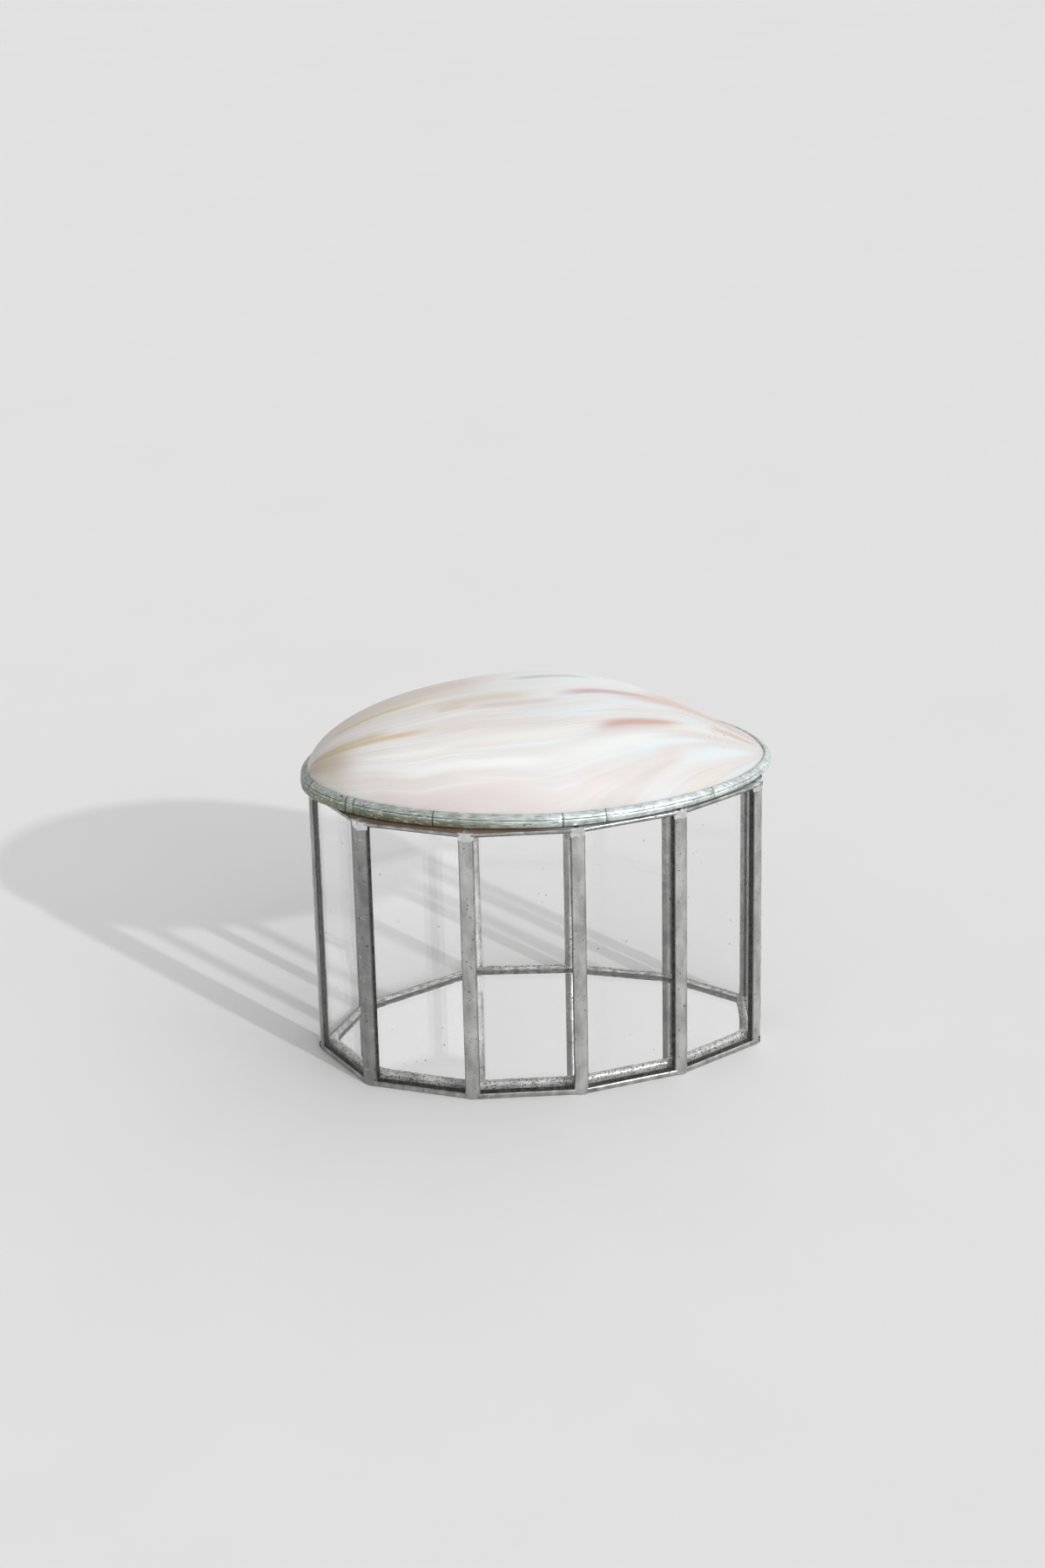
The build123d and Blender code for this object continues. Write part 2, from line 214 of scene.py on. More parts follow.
# Only at the front left did the tinning stop short of the edge, so that bare copper shows
is_tinned = add(tree, "MapRange", {0: at.outputs["X"], 1: -4 * MM, 2: 6 * MM})
bare = add(tree, "Mix", {"Factor": is_tinned, "A": bare, "B": "#B2B3B1"}, data_type="RGBA")
bare_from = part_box("foil_front")[1].z - 0.2 * MM
is_bare = add(tree, "Math", {0: at.outputs["Z"], 1: bare_from}, "GREATER_THAN")
tone = add(tree, "Mix", {"Factor": is_bare, "A": blackened, "B": bare}, data_type="RGBA")
rough = add(tree, "MapRange", {0: creases, 3: 0.32, 4: 0.6})
creased = add(tree, "Bump", {"Height": creases, "Strength": 0.35, "Distance": 0.05 * MM})
feed(tree, shader, {"Base Color": tone, "Roughness": rough, "Normal": creased})


def refinish(name, material):
    """Gives a piece of the frame its material."""
    nodes[name].data.materials.clear()
    nodes[name].data.materials.append(material)


refinish("mirror_glass", float_glass)
# The foil round the mirror's edge is tinned all over, so it shows pale through the glass
tinned_foil, tree, shader, place = new_material("copper_foil_tinned", {"Metallic": 0.6, "Roughness": 0.35})
clouds = add(tree, "TexNoise", {"Vector": place, "Scale": 1 / (2 * MM), "Detail": 4.0})
cloud_share = add(tree, "MapRange", {0: clouds, 1: 0.4, 2: 0.62})
tone = add(tree, "Mix", {"Factor": cloud_share, "A": "#8B8B8A", "B": "#E4E4E2"}, data_type="RGBA")
feed(tree, shader, {"Base Color": tone})
refinish("mirror_foil", tinned_foil)

# Eleven panes of 3 mm float glass, cut to uneven widths, stand on edge round the mirror. The
# edges of each are wrapped in copper foil, which laps onto both faces.
pane_places = (
    "left_front", "front_left", "front", "front_right", "right_front", "right", "right_back", "back_right",
    "back_hinge", "back_left", "left",
)
for pane_place in pane_places:
    refinish("pane_" + pane_place, float_glass)
    refinish("foil_" + pane_place, copper_foil)

glass_thickness = 3.0 * MM
foil_thickness = 0.1 * MM
foil_lap = 1.05 * MM


def pane_line(name):
    """A pane's inner face in plan: where it starts and ends, its direction, and the way out."""
    corners = sorted({(round(v.co.x, 6), round(v.co.y, 6)) for v in nodes[name].data.vertices})
    here = Vector(corners[0])
    near = min((Vector(c) for c in corners[1:]), key=lambda corner: (corner - here).length)
    out = (near - here).normalized()
    if out.dot(here) < 0:
        out = -out
    along = Vector((-out.y, out.x))
    inner = min(Vector(c).dot(out) for c in corners)
    runs = [Vector(c).dot(along) for c in corners]
    return min(runs) * along + inner * out, max(runs) * along + inner * out, along, out


pane_lines = [pane_line("pane_" + pane_place) for pane_place in pane_places]
side_count = len(pane_lines)
wall_corners = []
wall_mitres = []
for i, (start, end, along, out) in enumerate(pane_lines):
    before_start, before_end, before_along, before_out = pane_lines[i - 1]
    to_start = start - before_start
    run = (to_start.x * along.y - to_start.y * along.x) / (
        before_along.x * along.y - before_along.y * along.x
    )
    wall_corners.append(before_start + run * before_along)
    wall_mitres.append((before_out + out) / (1 + before_out.dot(out)))

# The silvering is its own thin sheet, a hair below the glass, so that the glass keeps a clear face
silver_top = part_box("mirror_glass")[0].z - 0.01 * MM
silver_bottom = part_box("mirror_backing")[0].z
mirror_edge_gap = 0.5 * MM
sheet_plan = [corner - mitre * mirror_edge_gap for corner, mitre in zip(wall_corners, wall_mitres)]
points = [(*p, silver_bottom) for p in sheet_plan] + [(*p, silver_top) for p in sheet_plan]
faces = [list(reversed(range(side_count))), list(range(side_count, 2 * side_count))]
for i in range(side_count):
    j = (i + 1) % side_count
    faces.append([i, j, side_count + j, side_count + i])
sheet = new_mesh("silvering", points, faces)
sheet.materials.append(silvering)
silver = new_object("silvering", sheet)
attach(silver, "box")
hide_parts("mirror_backing")

# Specks of burnt flux stay on both faces of the panes after soldering. They are flat grains up to
# half a millimetre wide, at random places.


def new_tree(name, floats, others):
    """A Geometry Nodes tree and its named inputs: Geometry, Material, the floats, and others, which
    come with their kinds."""
    tree = bpy.data.node_groups.new(name, "GeometryNodeTree")
    kinds = {"Geometry": "Geometry", "Material": "Material", **dict.fromkeys(floats, "Float"), **others}
    for socket, kind in kinds.items():
        tree.interface.new_socket(socket, in_out="INPUT", socket_type="NodeSocket" + kind)
    tree.interface.new_socket("Geometry", in_out="OUTPUT", socket_type="NodeSocketGeometry")
    return tree, add(tree, "NodeGroupInput").outputs


def end_tree(tree, shape, material):
    """Ends a Geometry Nodes tree: its instances turn real, and it gets its material."""
    real = add(tree, "GeometryNodeRealizeInstances", {0: shape})
    finished = add(tree, "GeometryNodeSetMaterial", {"Geometry": real, "Material": material})
    add(tree, "NodeGroupOutput", {0: finished})


tree, given = new_tree("flux_specks", ("Specks Per Square Metre", "Largest Radius"), {"Seed": "Int"})
speck_tree = tree
values = {"Mesh": given["Geometry"], "Density": given["Specks Per Square Metre"], "Seed": given["Seed"]}
spread = add(tree, "GeometryNodeDistributePointsOnFaces", values, distribute_method="RANDOM")
dot = add(tree, "GeometryNodeMeshIcoSphere", {"Radius": given["Largest Radius"], "Subdivisions": 1})
flat = add(tree, "GeometryNodeTransform", {"Geometry": dot, "Scale": (1.0, 0.7, 0.3)})
values = {"Min": 0.25, "Max": 1.0, "Seed": given["Seed"]}
size = add(tree, "FunctionNodeRandomValue", values, data_type="FLOAT").outputs[1]
values = {"Points": spread, "Instance": flat, "Rotation": spread.outputs["Rotation"], "Scale": size}
placed = add(tree, "GeometryNodeInstanceOnPoints", values)
end_tree(tree, placed, given["Material"])


def plain_mesh(name, mesh, tree, values, body):
    """Runs a Geometry Nodes tree on a mesh, and returns its result as a plain piece on a body."""
    piece = new_object(name, mesh)
    modifier = piece.modifiers.new(name, "NODES")
    modifier.node_group = tree
    for socket in tree.interface.items_tree:
        if socket.in_out == "INPUT" and socket.name in values:
            modifier[socket.identifier] = values[socket.name]
    bpy.context.view_layer.update()
    result = bpy.data.meshes.new_from_object(piece.evaluated_get(bpy.context.evaluated_depsgraph_get()))
    piece.modifiers.clear()
    piece.data = result
    result.name = name
    bpy.data.meshes.remove(mesh)
    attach(piece, body)
    return piece


# Burnt flux is a brittle dark resin
flux, tree, shader, place = new_material("burnt_flux_resin", {"Roughness": 0.5})
burnt = add(tree, "TexNoise", {"Vector": place, "Scale": 1 / (5 * MM)})
tone = add(tree, "Mix", {"Factor": burnt, "A": "#2B2A29", "B": "#6E6C69"}, data_type="RGBA")
feed(tree, shader, {"Base Color": tone})
speck_zone = (3.0 * MM, 75.0 * MM)
speck_margin = 2 * MM
for face, outward, seed in (("outside", glass_thickness, 3), ("inside", 0.0, 8)):
    points, faces = [], []
    for start, end, along, out in pane_lines:
        corner = len(points)
        a = start + out * outward + along * speck_margin
        b = end + out * outward - along * speck_margin
        points += [(*a, speck_zone[0]), (*b, speck_zone[0]), (*b, speck_zone[1]), (*a, speck_zone[1])]
        faces.append([corner, corner + 1, corner + 2, corner + 3])
    sheet = new_mesh("speck_places", points, faces)
    values = {"Specks Per Square Metre": 2500.0, "Largest Radius": 0.28 * MM, "Seed": seed}
    values["Material"] = flux
    plain_mesh("flux_specks_" + face, sheet, speck_tree, values, "box")

# Corner posts. Solder is run down the gap between two foiled edges, outside and inside, and it
# freezes in ripples, pits and cross marks. It is tin and lead, left bright and hand wiped.
floats = ("Ripple Height", "Ripple Length", "Swell Height", "Swell Length", "Seed")
tree, given = new_tree("solder_run", floats, {"Section": "Object", "Grain": "Vector"})
solder_tree = tree
path = given["Geometry"]
section = add(tree, "GeometryNodeObjectInfo", {"Object": given["Section"]}).outputs["Geometry"]
path_count = add(tree, "GeometryNodeAttributeDomainSize", {0: path}).outputs["Point Count"]
section_count = add(tree, "GeometryNodeAttributeDomainSize", {0: section}).outputs["Point Count"]
grid = add(tree, "GeometryNodeMeshGrid", {"Vertices X": path_count, "Vertices Y": section_count})
index = add(tree, "GeometryNodeInputIndex")
ring = add(tree, "FunctionNodeIntegerMath", {0: index, 1: section_count}, "DIVIDE_FLOOR")
spot = add(tree, "FunctionNodeIntegerMath", {0: index, 1: section_count}, "MODULO")
here = add(tree, "GeometryNodeInputPosition")
sampled = {}
for name in ("path", "across", "up", "lump", "section", "crest"):
    source, at = (section, spot) if name in ("section", "crest") else (path, ring)
    kind = "FLOAT" if name == "crest" else "FLOAT_VECTOR"
    value = here
    if name not in ("path", "section"):
        value = add(tree, "GeometryNodeInputNamedAttribute", {"Name": name}, data_type=kind)
    values = {"Geometry": source, "Value": value, "Index": at}
    sampled[name] = add(tree, "GeometryNodeSampleIndex", values, data_type=kind)
shares = add(tree, "SeparateXYZ", {0: sampled["section"]})
point = sampled["path"]
for name, share in (("across", "X"), ("up", "Y"), ("lump", "Z")):
    amount = shares.outputs[share]
    point = add(tree, "VectorMath", {0: sampled[name], 1: amount, 2: point}, "MULTIPLY_ADD")
swept = add(tree, "GeometryNodeSetPosition", {"Geometry": grid, "Position": point})
values = {"Geometry": swept, "Name": "crest", "Value": sampled["crest"]}
marked = add(tree, "GeometryNodeStoreNamedAttribute", values, data_type="FLOAT", domain="POINT")
merge_distance = 0.002 * MM
merged = add(tree, "GeometryNodeMergeByDistance", {"Geometry": marked, "Distance": merge_distance})
crest = add(tree, "GeometryNodeInputNamedAttribute", {"Name": "crest"}, data_type="FLOAT")
grained = add(tree, "VectorMath", {0: here, 1: given["Grain"]}, "MULTIPLY")
rise = 0.0
for height, length in (("Ripple Height", "Ripple Length"), ("Swell Height", "Swell Length")):
    fineness = add(tree, "Math", {0: 1.0, 1: given[length]}, "DIVIDE")
    values = {"Vector": grained, "W": given["Seed"], "Scale": fineness, "Detail": 2.0, "Roughness": 0.6}
    noise = add(tree, "TexNoise", values, noise_dimensions="4D")
    centred = add(tree, "Math", {0: noise, 1: 0.5}, "SUBTRACT")
    rise = add(tree, "Math", {0: centred, 1: given[height], 2: rise}, "MULTIPLY_ADD")
rise = add(tree, "Math", {0: rise, 1: crest}, "MULTIPLY")
normal = add(tree, "GeometryNodeInputNormal")
shift = add(tree, "VectorMath", {0: normal, "Scale": rise}, "SCALE")
rippled = add(tree, "GeometryNodeSetPosition", {"Geometry": merged, "Offset": shift})
sharpest_smooth = radians(50)


def end_smooth_tree(tree, shape, material):
    """Ends a tree whose shape is shaded smooth, but for its sharp edges."""
    values = {"Geometry": shape, "Shade Smooth": True}
    smooth = add(tree, "GeometryNodeSetShadeSmooth", values, domain="FACE")
    edge_angle = add(tree, "GeometryNodeInputMeshEdgeAngle").outputs["Unsigned Angle"]
    sharp = add(tree, "Math", {0: edge_angle, 1: sharpest_smooth}, "GREATER_THAN")
    values = {"Geometry": smooth, "Selection": sharp, "Shade Smooth": False}
    creased = add(tree, "GeometryNodeSetShadeSmooth", values, domain="EDGE")
    end_tree(tree, creased, material)


end_smooth_tree(tree, rippled, given["Material"])


def marked_points(name, points, attributes):
    """A mesh of loose points with named attributes: vectors, or floats where a value is a number."""
    mesh = new_mesh(name, [tuple(p) for p in points], [])
    for key, values in attributes.items():
        if isinstance(values[0], (int, float)):
            mesh.attributes.new(key, "FLOAT", "POINT").data.foreach_set("value", list(values))
        else:
            flat_values = [number for value in values for number in value]
            mesh.attributes.new(key, "FLOAT_VECTOR", "POINT").data.foreach_set("vector", flat_values)
    return mesh


def solder_run(name, path, section, material, ripple, swell, seed, body="box", grain=(1.0, 1.0, 1.0)):
    """A run of solder along a path. path holds point, across, up and lump for each ring. A row of
    section holds the shares of those in mm that its point takes, and its crest: how much of the
    ripples, and how little of the painted shade that the solder's material puts where the crest is
    low. ripple and swell are a height and a length in mm."""
    columns = list(zip(*path))
    mesh = marked_points(name + "_path", columns[0], dict(zip(("across", "up", "lump"), columns[1:])))
    crests = {"crest": [float(row[3]) for row in section]}
    outline = marked_points(name + "_section", [row[:3] for row in section], crests)
    outline = new_object(name + "_section", outline)
    values = {"Section": outline, "Grain": grain, "Seed": seed, "Material": material}
    for wave, (height, length) in (("Ripple", ripple), ("Swell", swell)):
        values[wave + " Height"] = height * MM
        values[wave + " Length"] = length * MM
    piece = plain_mesh(name, mesh, solder_tree, values, body)
    bpy.data.objects.remove(outline)
    return piece


def tinned_solder(name, dull, pale, shade, sheen, bare_metal=1.0, pit_from=0.66, pit_size=0.8):
    """Solder is a soft bright metal with a thin grey bloom, a few pits and wiped cross marks. Its
    dull and pale colours mix in patches. shade is the colour of its dark pits, and of the painted
    shade along its edges and in its crevices, where its crest is low. sheen is its middle
    roughness. bare_metal is the share of it that no oxide covers. A lower pit_from gives more
    pits, and pit_size is their spacing in mm."""
    material, tree, shader, place = new_material(name, {"Metallic": bare_metal})
    # Patches are some 3 mm across and 8 mm along the upright runs
    drawn = add(tree, "Mapping", {"Vector": place, "Scale": (1.0, 1.0, 0.4)})
    patches = add(tree, "TexNoise", {"Vector": drawn, "Scale": 1 / (3 * MM), "Detail": 4.0})
    patch_share = add(tree, "MapRange", {0: patches, 1: 0.32, 2: 0.68})
    colour = add(tree, "Mix", {"Factor": patch_share, "A": dull, "B": pale}, data_type="RGBA")
    # Wiping leaves cross marks where one stroke ends and the next begins
    flat_place = add(tree, "Mapping", {"Vector": place, "Scale": (0.25, 0.25, 1.0)})
    strokes = add(tree, "TexNoise", {"Vector": flat_place, "Scale": 1 / (4 * MM), "Detail": 3.0})
    mark = add(tree, "Math", {0: strokes, 1: 0.52}, "SUBTRACT")
    mark = add(tree, "Math", {0: mark}, "ABSOLUTE")
    mark = add(tree, "MapRange", {0: mark, 1: 0.006, 2: 0.0, 3: 0.0, 4: 0.55})
    colour = add(tree, "Mix", {"Factor": mark, "A": colour, "B": "#DCDCDB"}, data_type="RGBA")
    # Pits are a third of a millimetre wide, and few where the solder ran well
    pits = add(tree, "TexNoise", {"Vector": place, "Scale": 1 / (pit_size * MM), "Detail": 2.0})
    pit_share = add(tree, "MapRange", {0: pits, 1: pit_from, 2: pit_from + 0.06, 3: 0.0, 4: 0.9})
    # Where the crest falls to nothing, at the edges of a bead and in its crevices, the colour darkens:
    # painted shade
    crest = add(tree, "Attribute", attribute_name="crest").outputs["Fac"]
    painted_edge_shade = add(tree, "MapRange", {0: crest, 1: 0.02, 2: 0.4, 3: 0.85, 4: 0.0})
    pits_and_edge_shade = add(tree, "Math", {0: pit_share, 1: painted_edge_shade}, "MAXIMUM")
    colour = add(tree, "Mix", {"Factor": pits_and_edge_shade, "A": colour, "B": shade}, data_type="RGBA")
    rough = add(tree, "MapRange", {0: strokes, 1: 0.3, 2: 0.7, 3: sheen - 0.1, 4: sheen + 0.12})
    worn = add(tree, "Math", {0: strokes, 1: pit_share}, "SUBTRACT")
    wiped = add(tree, "Bump", {"Height": worn, "Strength": 0.45, "Distance": 0.15 * MM})
    feed(tree, shader, {"Base Color": colour, "Roughness": rough, "Normal": wiped})
    return material, tree, shader, place


# The painted highlight at the top of the posts begins some 2 mm below their top
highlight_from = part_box("post_left")[1].z - 2.2 * MM


def hand_run_solder(name, dull, pale, shade, sheen):
    """The solder of the posts. The top of each is painted bright: a painted highlight where
    the post meets the rim.
    """
    material, tree, shader, place = tinned_solder(name, dull, pale, shade, sheen)
    body_tone = shader.inputs["Base Color"].links[0].from_socket
    height = add(tree, "SeparateXYZ", {0: place}).outputs["Z"]
    # Above a ragged line near its top, each post is painted bright: a painted highlight
    ragged = add(tree, "TexNoise", {"Vector": place, "Scale": 1 / (1.5 * MM)})
    edge = add(tree, "Math", {0: ragged, 1: 1.6 * MM, 2: highlight_from - 0.8 * MM}, "MULTIPLY_ADD")
    in_painted_highlight = add(tree, "Math", {0: height, 1: edge}, "GREATER_THAN")
    painted_highlight_tone = add(tree, "Mix", {"Factor": ragged, "A": "#B4B4B3", "B": "#FFFFFF"}, data_type="RGBA")
    tone = add(tree, "Mix", {"Factor": in_painted_highlight, "A": body_tone, "B": painted_highlight_tone}, data_type="RGBA")
    # The bead rolls over towards its two edges
    crest = add(tree, "Attribute", attribute_name="crest").outputs["Fac"]
    rolled = add(tree, "Bump", {"Height": crest, "Strength": 0.8, "Distance": 0.6 * MM})
    feed(tree, shader.inputs["Normal"].links[0].from_node, {"Normal": rolled})
    feed(tree, shader, {"Base Color": tone})
    return material


post_solder = hand_run_solder("tin_lead_solder_hand_run", "#A0A09F", "#CFD0CE", "#3E3E3D", 0.24)
# The front left post gets a darker copy of the post solder: painted shade, for the darker surroundings that
# it reflects
shaded_post_solder = hand_run_solder("tin_lead_solder_shaded", "#848484", "#A3A3A2", "#363635", 0.3)

post_corners = (
    "left", "front_left", "front_middle_left", "front_middle_right", "front_right", "right_front",
    "right_back", "back_right", "hinge_right", "hinge_left", "back_left",
)
post_bottom = 0.15 * MM
post_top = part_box("post_left")[1].z - 0.05 * MM
ring_step = 0.4 * MM
outer_crest = 0.53 * MM
inner_crest = 1.0 * MM
foil_outside = glass_thickness + foil_thickness
outer_steps = 14
inner_steps = 10
outer_edge_steps = 3.5
inner_edge_steps = 2


def arc_through(a, crest, b, steps):
    """Points of the round arc from a over the crest to b, all in plan."""
    chord = b - a
    middle = (a + b) / 2
    height = (crest - middle).length
    radius = (chord.length**2 / 4 + height**2) / (2 * height)
    centre = crest + (middle - crest).normalized() * radius
    first, last = a - centre, b - centre
    turn = first.angle_signed(last)
    return [centre + Matrix.Rotation(-turn * step / steps, 2) @ first for step in range(steps + 1)]


for i, corner_name in enumerate(post_corners):
    before_start, before_end, before_along, before_out = pane_lines[i - 1]
    start, end, along, out = pane_lines[i]
    outward = wall_mitres[i].normalized()
    edge_before = before_end + before_along * foil_thickness
    edge_after = start - along * foil_thickness
    lap_before = before_end - before_along * foil_lap
    lap_after = start + along * foil_lap
    gap_middle = (edge_before + before_out * foil_outside + edge_after + out * foil_outside) / 2
    outer = arc_through(
        lap_before + before_out * foil_outside,
        gap_middle + outward * outer_crest,
        lap_after + out * foil_outside,
        outer_steps,
    )
    inner = arc_through(
        lap_after - out * foil_thickness,
        wall_corners[i] - outward * inner_crest,
        lap_before - before_out * foil_thickness,
        inner_steps,
    )
    gap_after = [edge_after + out * foil_outside, edge_after - out * foil_thickness]
    gap_before = [edge_before - before_out * foil_thickness, edge_before + before_out * foil_outside]
    outline = outer + gap_after + inner + gap_before + outer[:1]
    # The crest falls towards the edges of each bead, and the solder is painted in shade there, which rounds
    # the bead's look
    crests = []
    beads = ((outer_steps, outer_edge_steps, 2), (inner_steps, inner_edge_steps, 3))
    for steps, edge_steps, plain in beads:
        crests += [min(1.0, k / edge_steps, (steps - k) / edge_steps) for k in range(steps + 1)]
        crests += [0.0] * plain
    middle = wall_corners[i] + wall_mitres[i] * glass_thickness
    section = [((p.x - middle.x) / MM, (p.y - middle.y) / MM, c, c) for p, c in zip(outline, crests)]
    ring_count = round((post_top - post_bottom) / ring_step)
    heights = [post_bottom + (post_top - post_bottom) * k / ring_count for k in range(ring_count + 1)]
    chance = Random(40 + i)
    stroke_ends = [chance.uniform(6, 70) * MM for stroke in range(6)]
    path = []
    for k, height in enumerate([heights[0]] + heights + [heights[-1]]):
        # The solder spreads and heaps up a little where the post meets the seams above and below
        near_top = max(0.0, 1 - (post_top - height) / (3.5 * MM)) ** 2
        near_bottom = max(0.0, 1 - (height - post_bottom) / (5 * MM)) ** 2
        # A stroke begins with a small step, and the step dies away above it
        past = [height - end for end in stroke_ends if height >= end]
        heap = 0.1 * near_top + min(0.14, sum(0.12 * exp(-run / (2.2 * MM)) for run in past))
        spread_out = 1 + 0.16 * near_top + 0.14 * near_bottom
        width = 0.0 if k in (0, ring_count + 2) else MM * spread_out
        lump = (outward.x * heap * width, outward.y * heap * width, 0)
        path.append(((middle.x, middle.y, height), (width, 0, 0), (0, width, 0), lump))
    solder = shaded_post_solder if corner_name == "front_left" else post_solder
    name = "soldered_post_" + corner_name
    post = solder_run(name, path, section, solder, (0.2, 2.2), (0.4, 11), 10.0 + i, grain=(1.0, 1.0, 0.4))
    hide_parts("post_" + corner_name)

# Seams round the box: the bead that it stands on, the fillet between mirror and panes, and the
# tinning of the top edge. All are the same solder, run along the foil from corner to corner.
blunting = 4.0
shrink_run = 24 * MM


def wall_path(height, lump_size, lump_length, back_share=1.0):
    """Rings round the wall at one height, with lumps at the corners. The section shrinks to
    back_share of its size at the back, and sharp corners are rounded off."""
    rings = []
    for i in range(side_count):
        j = (i + 1) % side_count
        length = (wall_corners[j] - wall_corners[i]).length
        steps = round(length / ring_step)
        for step in range(steps):
            share = step / steps
            point = wall_corners[i].lerp(wall_corners[j], share)
            across = wall_mitres[i].lerp(wall_mitres[j], share)
            corner = i if share < 0.5 else j
            pointed = wall_mitres[corner].length - 1
            from_corner = min(share, 1 - share) * length
            heap = max(0.0, 1 - from_corner / lump_length) ** 2
            lump = across * ((lump_size - blunting * pointed) * heap)
            backness = min(1.0, max(0.0, 0.5 + point.y / shrink_run))
            size = MM * (1 + (back_share - 1) * backness)
            rings.append(((*point, height), (*(across * size), 0), (0, 0, size), (*(lump * size), 0)))
    return rings + rings[:1]


lap_top = 1.55
bottom_bead = [
    (3.08, 0.38, 0, 0), (3.08, lap_top, 0, 0), (3.28, 1.5, 0.3, 0.6), (3.4, 1.3, 0.7, 1),
    (3.44, 1.0, 1, 1), (3.44, 0.65, 1, 1), (3.38, 0.3, 0.8, 0.7), (3.25, 0.06, 0.4, 0.2),
    (3.0, 0.0, 0, 0), (1.0, 0.0, 0, 0), (-1.55, 0.0, 0, 0), (-1.55, 0.38, 0, 0),
    (3.08, 0.38, 0, 0),
]
mirror_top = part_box("mirror_glass")[1].z
# The fillet's heights count from the mirror
floor_fillet = [
    (-0.5, 0.0, 0, 0), (-2.75, 0.0, 0, 0), (-2.7, 0.22, 0.5, 0.5), (-2.4, 0.6, 0.8, 1),
    (-1.95, 0.92, 0.8, 1), (-1.45, 1.06, 0.6, 1), (-0.95, 0.96, 0.3, 1), (-0.55, 0.66, 0.1, 1),
    (-0.32, 0.3, 0, 0.9), (-0.28, 0.0, 0, 0.7), (-0.28, -0.7, 0, 0.5), (-0.28, -1.5, 0, 0.2),
    (-0.42, -1.5, 0, 0), (-0.42, 0.0, 0, 0), (-0.5, 0.0, 0, 0),
]
tin_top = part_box("top_tin_outside")[1].z / MM
outer_tinning = [
    (3.08, tin_top - 0.95, 0, 0), (3.08, tin_top, 0, 0), (3.25, tin_top, 0, 0),
    (3.4, tin_top - 0.1, 0.5, 1), (3.48, tin_top - 0.35, 1, 1), (3.43, tin_top - 0.65, 0.8, 1),
    (3.28, tin_top - 0.9, 0.2, 0.4), (3.08, tin_top - 0.95, 0, 0),
]
inner_tinning = [(-out, height, -lump, crest) for out, height, lump, crest in outer_tinning]
inner_tinning = [(out + 3.0, height, lump, crest) for out, height, lump, crest in reversed(inner_tinning)]
# The seams at the bottom are rubbed and greyer than the posts
seam_solder, tree, shader, place = tinned_solder(
    "tin_lead_solder_rubbed", "#8A8A89", "#C4C5C3", "#3E3E3D", 0.28
)
# The fillet inside could not be reached to wipe it, and it is full of grains and pits
grainy_solder, tree, shader, place = tinned_solder(
    "tin_lead_solder_grainy", "#A2A2A1", "#DEDEDC", "#3C3C3B", 0.3, bare_metal=0.4, pit_from=0.54,
    pit_size=0.5,
)
# Each seam: its name, outline, CAD node, height, lumps, ripples, swell and seed
seams = (
    ("bottom_bead", bottom_bead, "bottom_seam", 0.0, 0.0, (0.22, 1.8), 0.15, 21.0),
    ("floor_fillet", floor_fillet, "floor_seam", mirror_top, -0.5, (0.5, 1.1), 0.4, 22.0),
    ("outer_tinning", outer_tinning, "top_tin_outside", 0.0, 0.08, (0.25, 1.8), 0.2, 23.0),
    ("inner_tinning", inner_tinning, "top_tin_inside", 0.0, 0.3, (0.25, 1.8), 0.2, 24.0),
)
for name, outline, node, base, lump, ripple, swell, seed in seams:
    is_fillet = name == "floor_fillet"
    rings = wall_path(base, lump, 4 * MM, 0.32 if is_fillet else 1.0)
    solder = grainy_solder if is_fillet else seam_solder
    seam = solder_run(name, rings, outline, solder, ripple, (swell, 9), seed)
    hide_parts(node)

# Hinge: a brass rod with its ends bent down and soldered beside the two hinge posts, in a brass
# tube under the rim. Both are drawn, and their surface has turned dull.
brass, tree, shader, place = new_material("brass_drawn", {"Metallic": 1.0})
tarnish = add(tree, "TexNoise", {"Vector": place, "Scale": 1 / (4 * MM), "Detail": 5.0, "Roughness": 0.65})
tone = add(tree, "Mix", {"Factor": tarnish, "A": "#8E7445", "B": "#CDB276"}, data_type="RGBA")
rough = add(tree, "MapRange", {0: tarnish, 3: 0.18, 4: 0.45})
feed(tree, shader, {"Base Color": tone, "Roughness": rough})
refinish("hinge_rod", brass)
refinish("hinge_tube", brass)
# Solder holds the rod's legs to the posts: two runs that taper out above and below
rod_low, rod_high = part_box("hinge_rod")
leg_low, leg_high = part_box("hinge_leg_solder")
rod_radius = 0.6 * MM
leg_outline = [
    (-1.0, -0.6, 0, 0), (-0.3, -0.75, 0, 0), (0.3, -0.75, 0, 0), (1.0, -0.6, 0, 0),
    (0.95, -0.2, 0, 1), (0.8, 0.1, 0, 1), (0.55, 0.35, 0, 0.5), (0.0, 0.3, 0, 0),
    (-0.55, 0.35, 0, 0.5), (-0.8, 0.1, 0, 1), (-0.95, -0.2, 0, 1), (-1.0, -0.6, 0, 0),
]
leg_y = leg_high.y - 0.35 * MM
leg_rings = 24
for side_name, leg_x in (("left", rod_low.x + rod_radius), ("right", rod_high.x - rod_radius)):
    path = []
    for k in range(leg_rings + 1):
        share = k / leg_rings
        full = (1 - (2 * share - 1) ** 4) ** 0.5 * MM
        height = leg_low.z + (leg_high.z - leg_low.z) * share
        path.append(((leg_x, leg_y, height), (full, 0, 0), (0, full, 0), (0, 0, 0)))
    name = "hinge_leg_run_" + side_name
    run = solder_run(name, path, leg_outline, post_solder, (0.2, 1.2), (0.2, 5), 51.0)
    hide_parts("hinge_leg_solder")
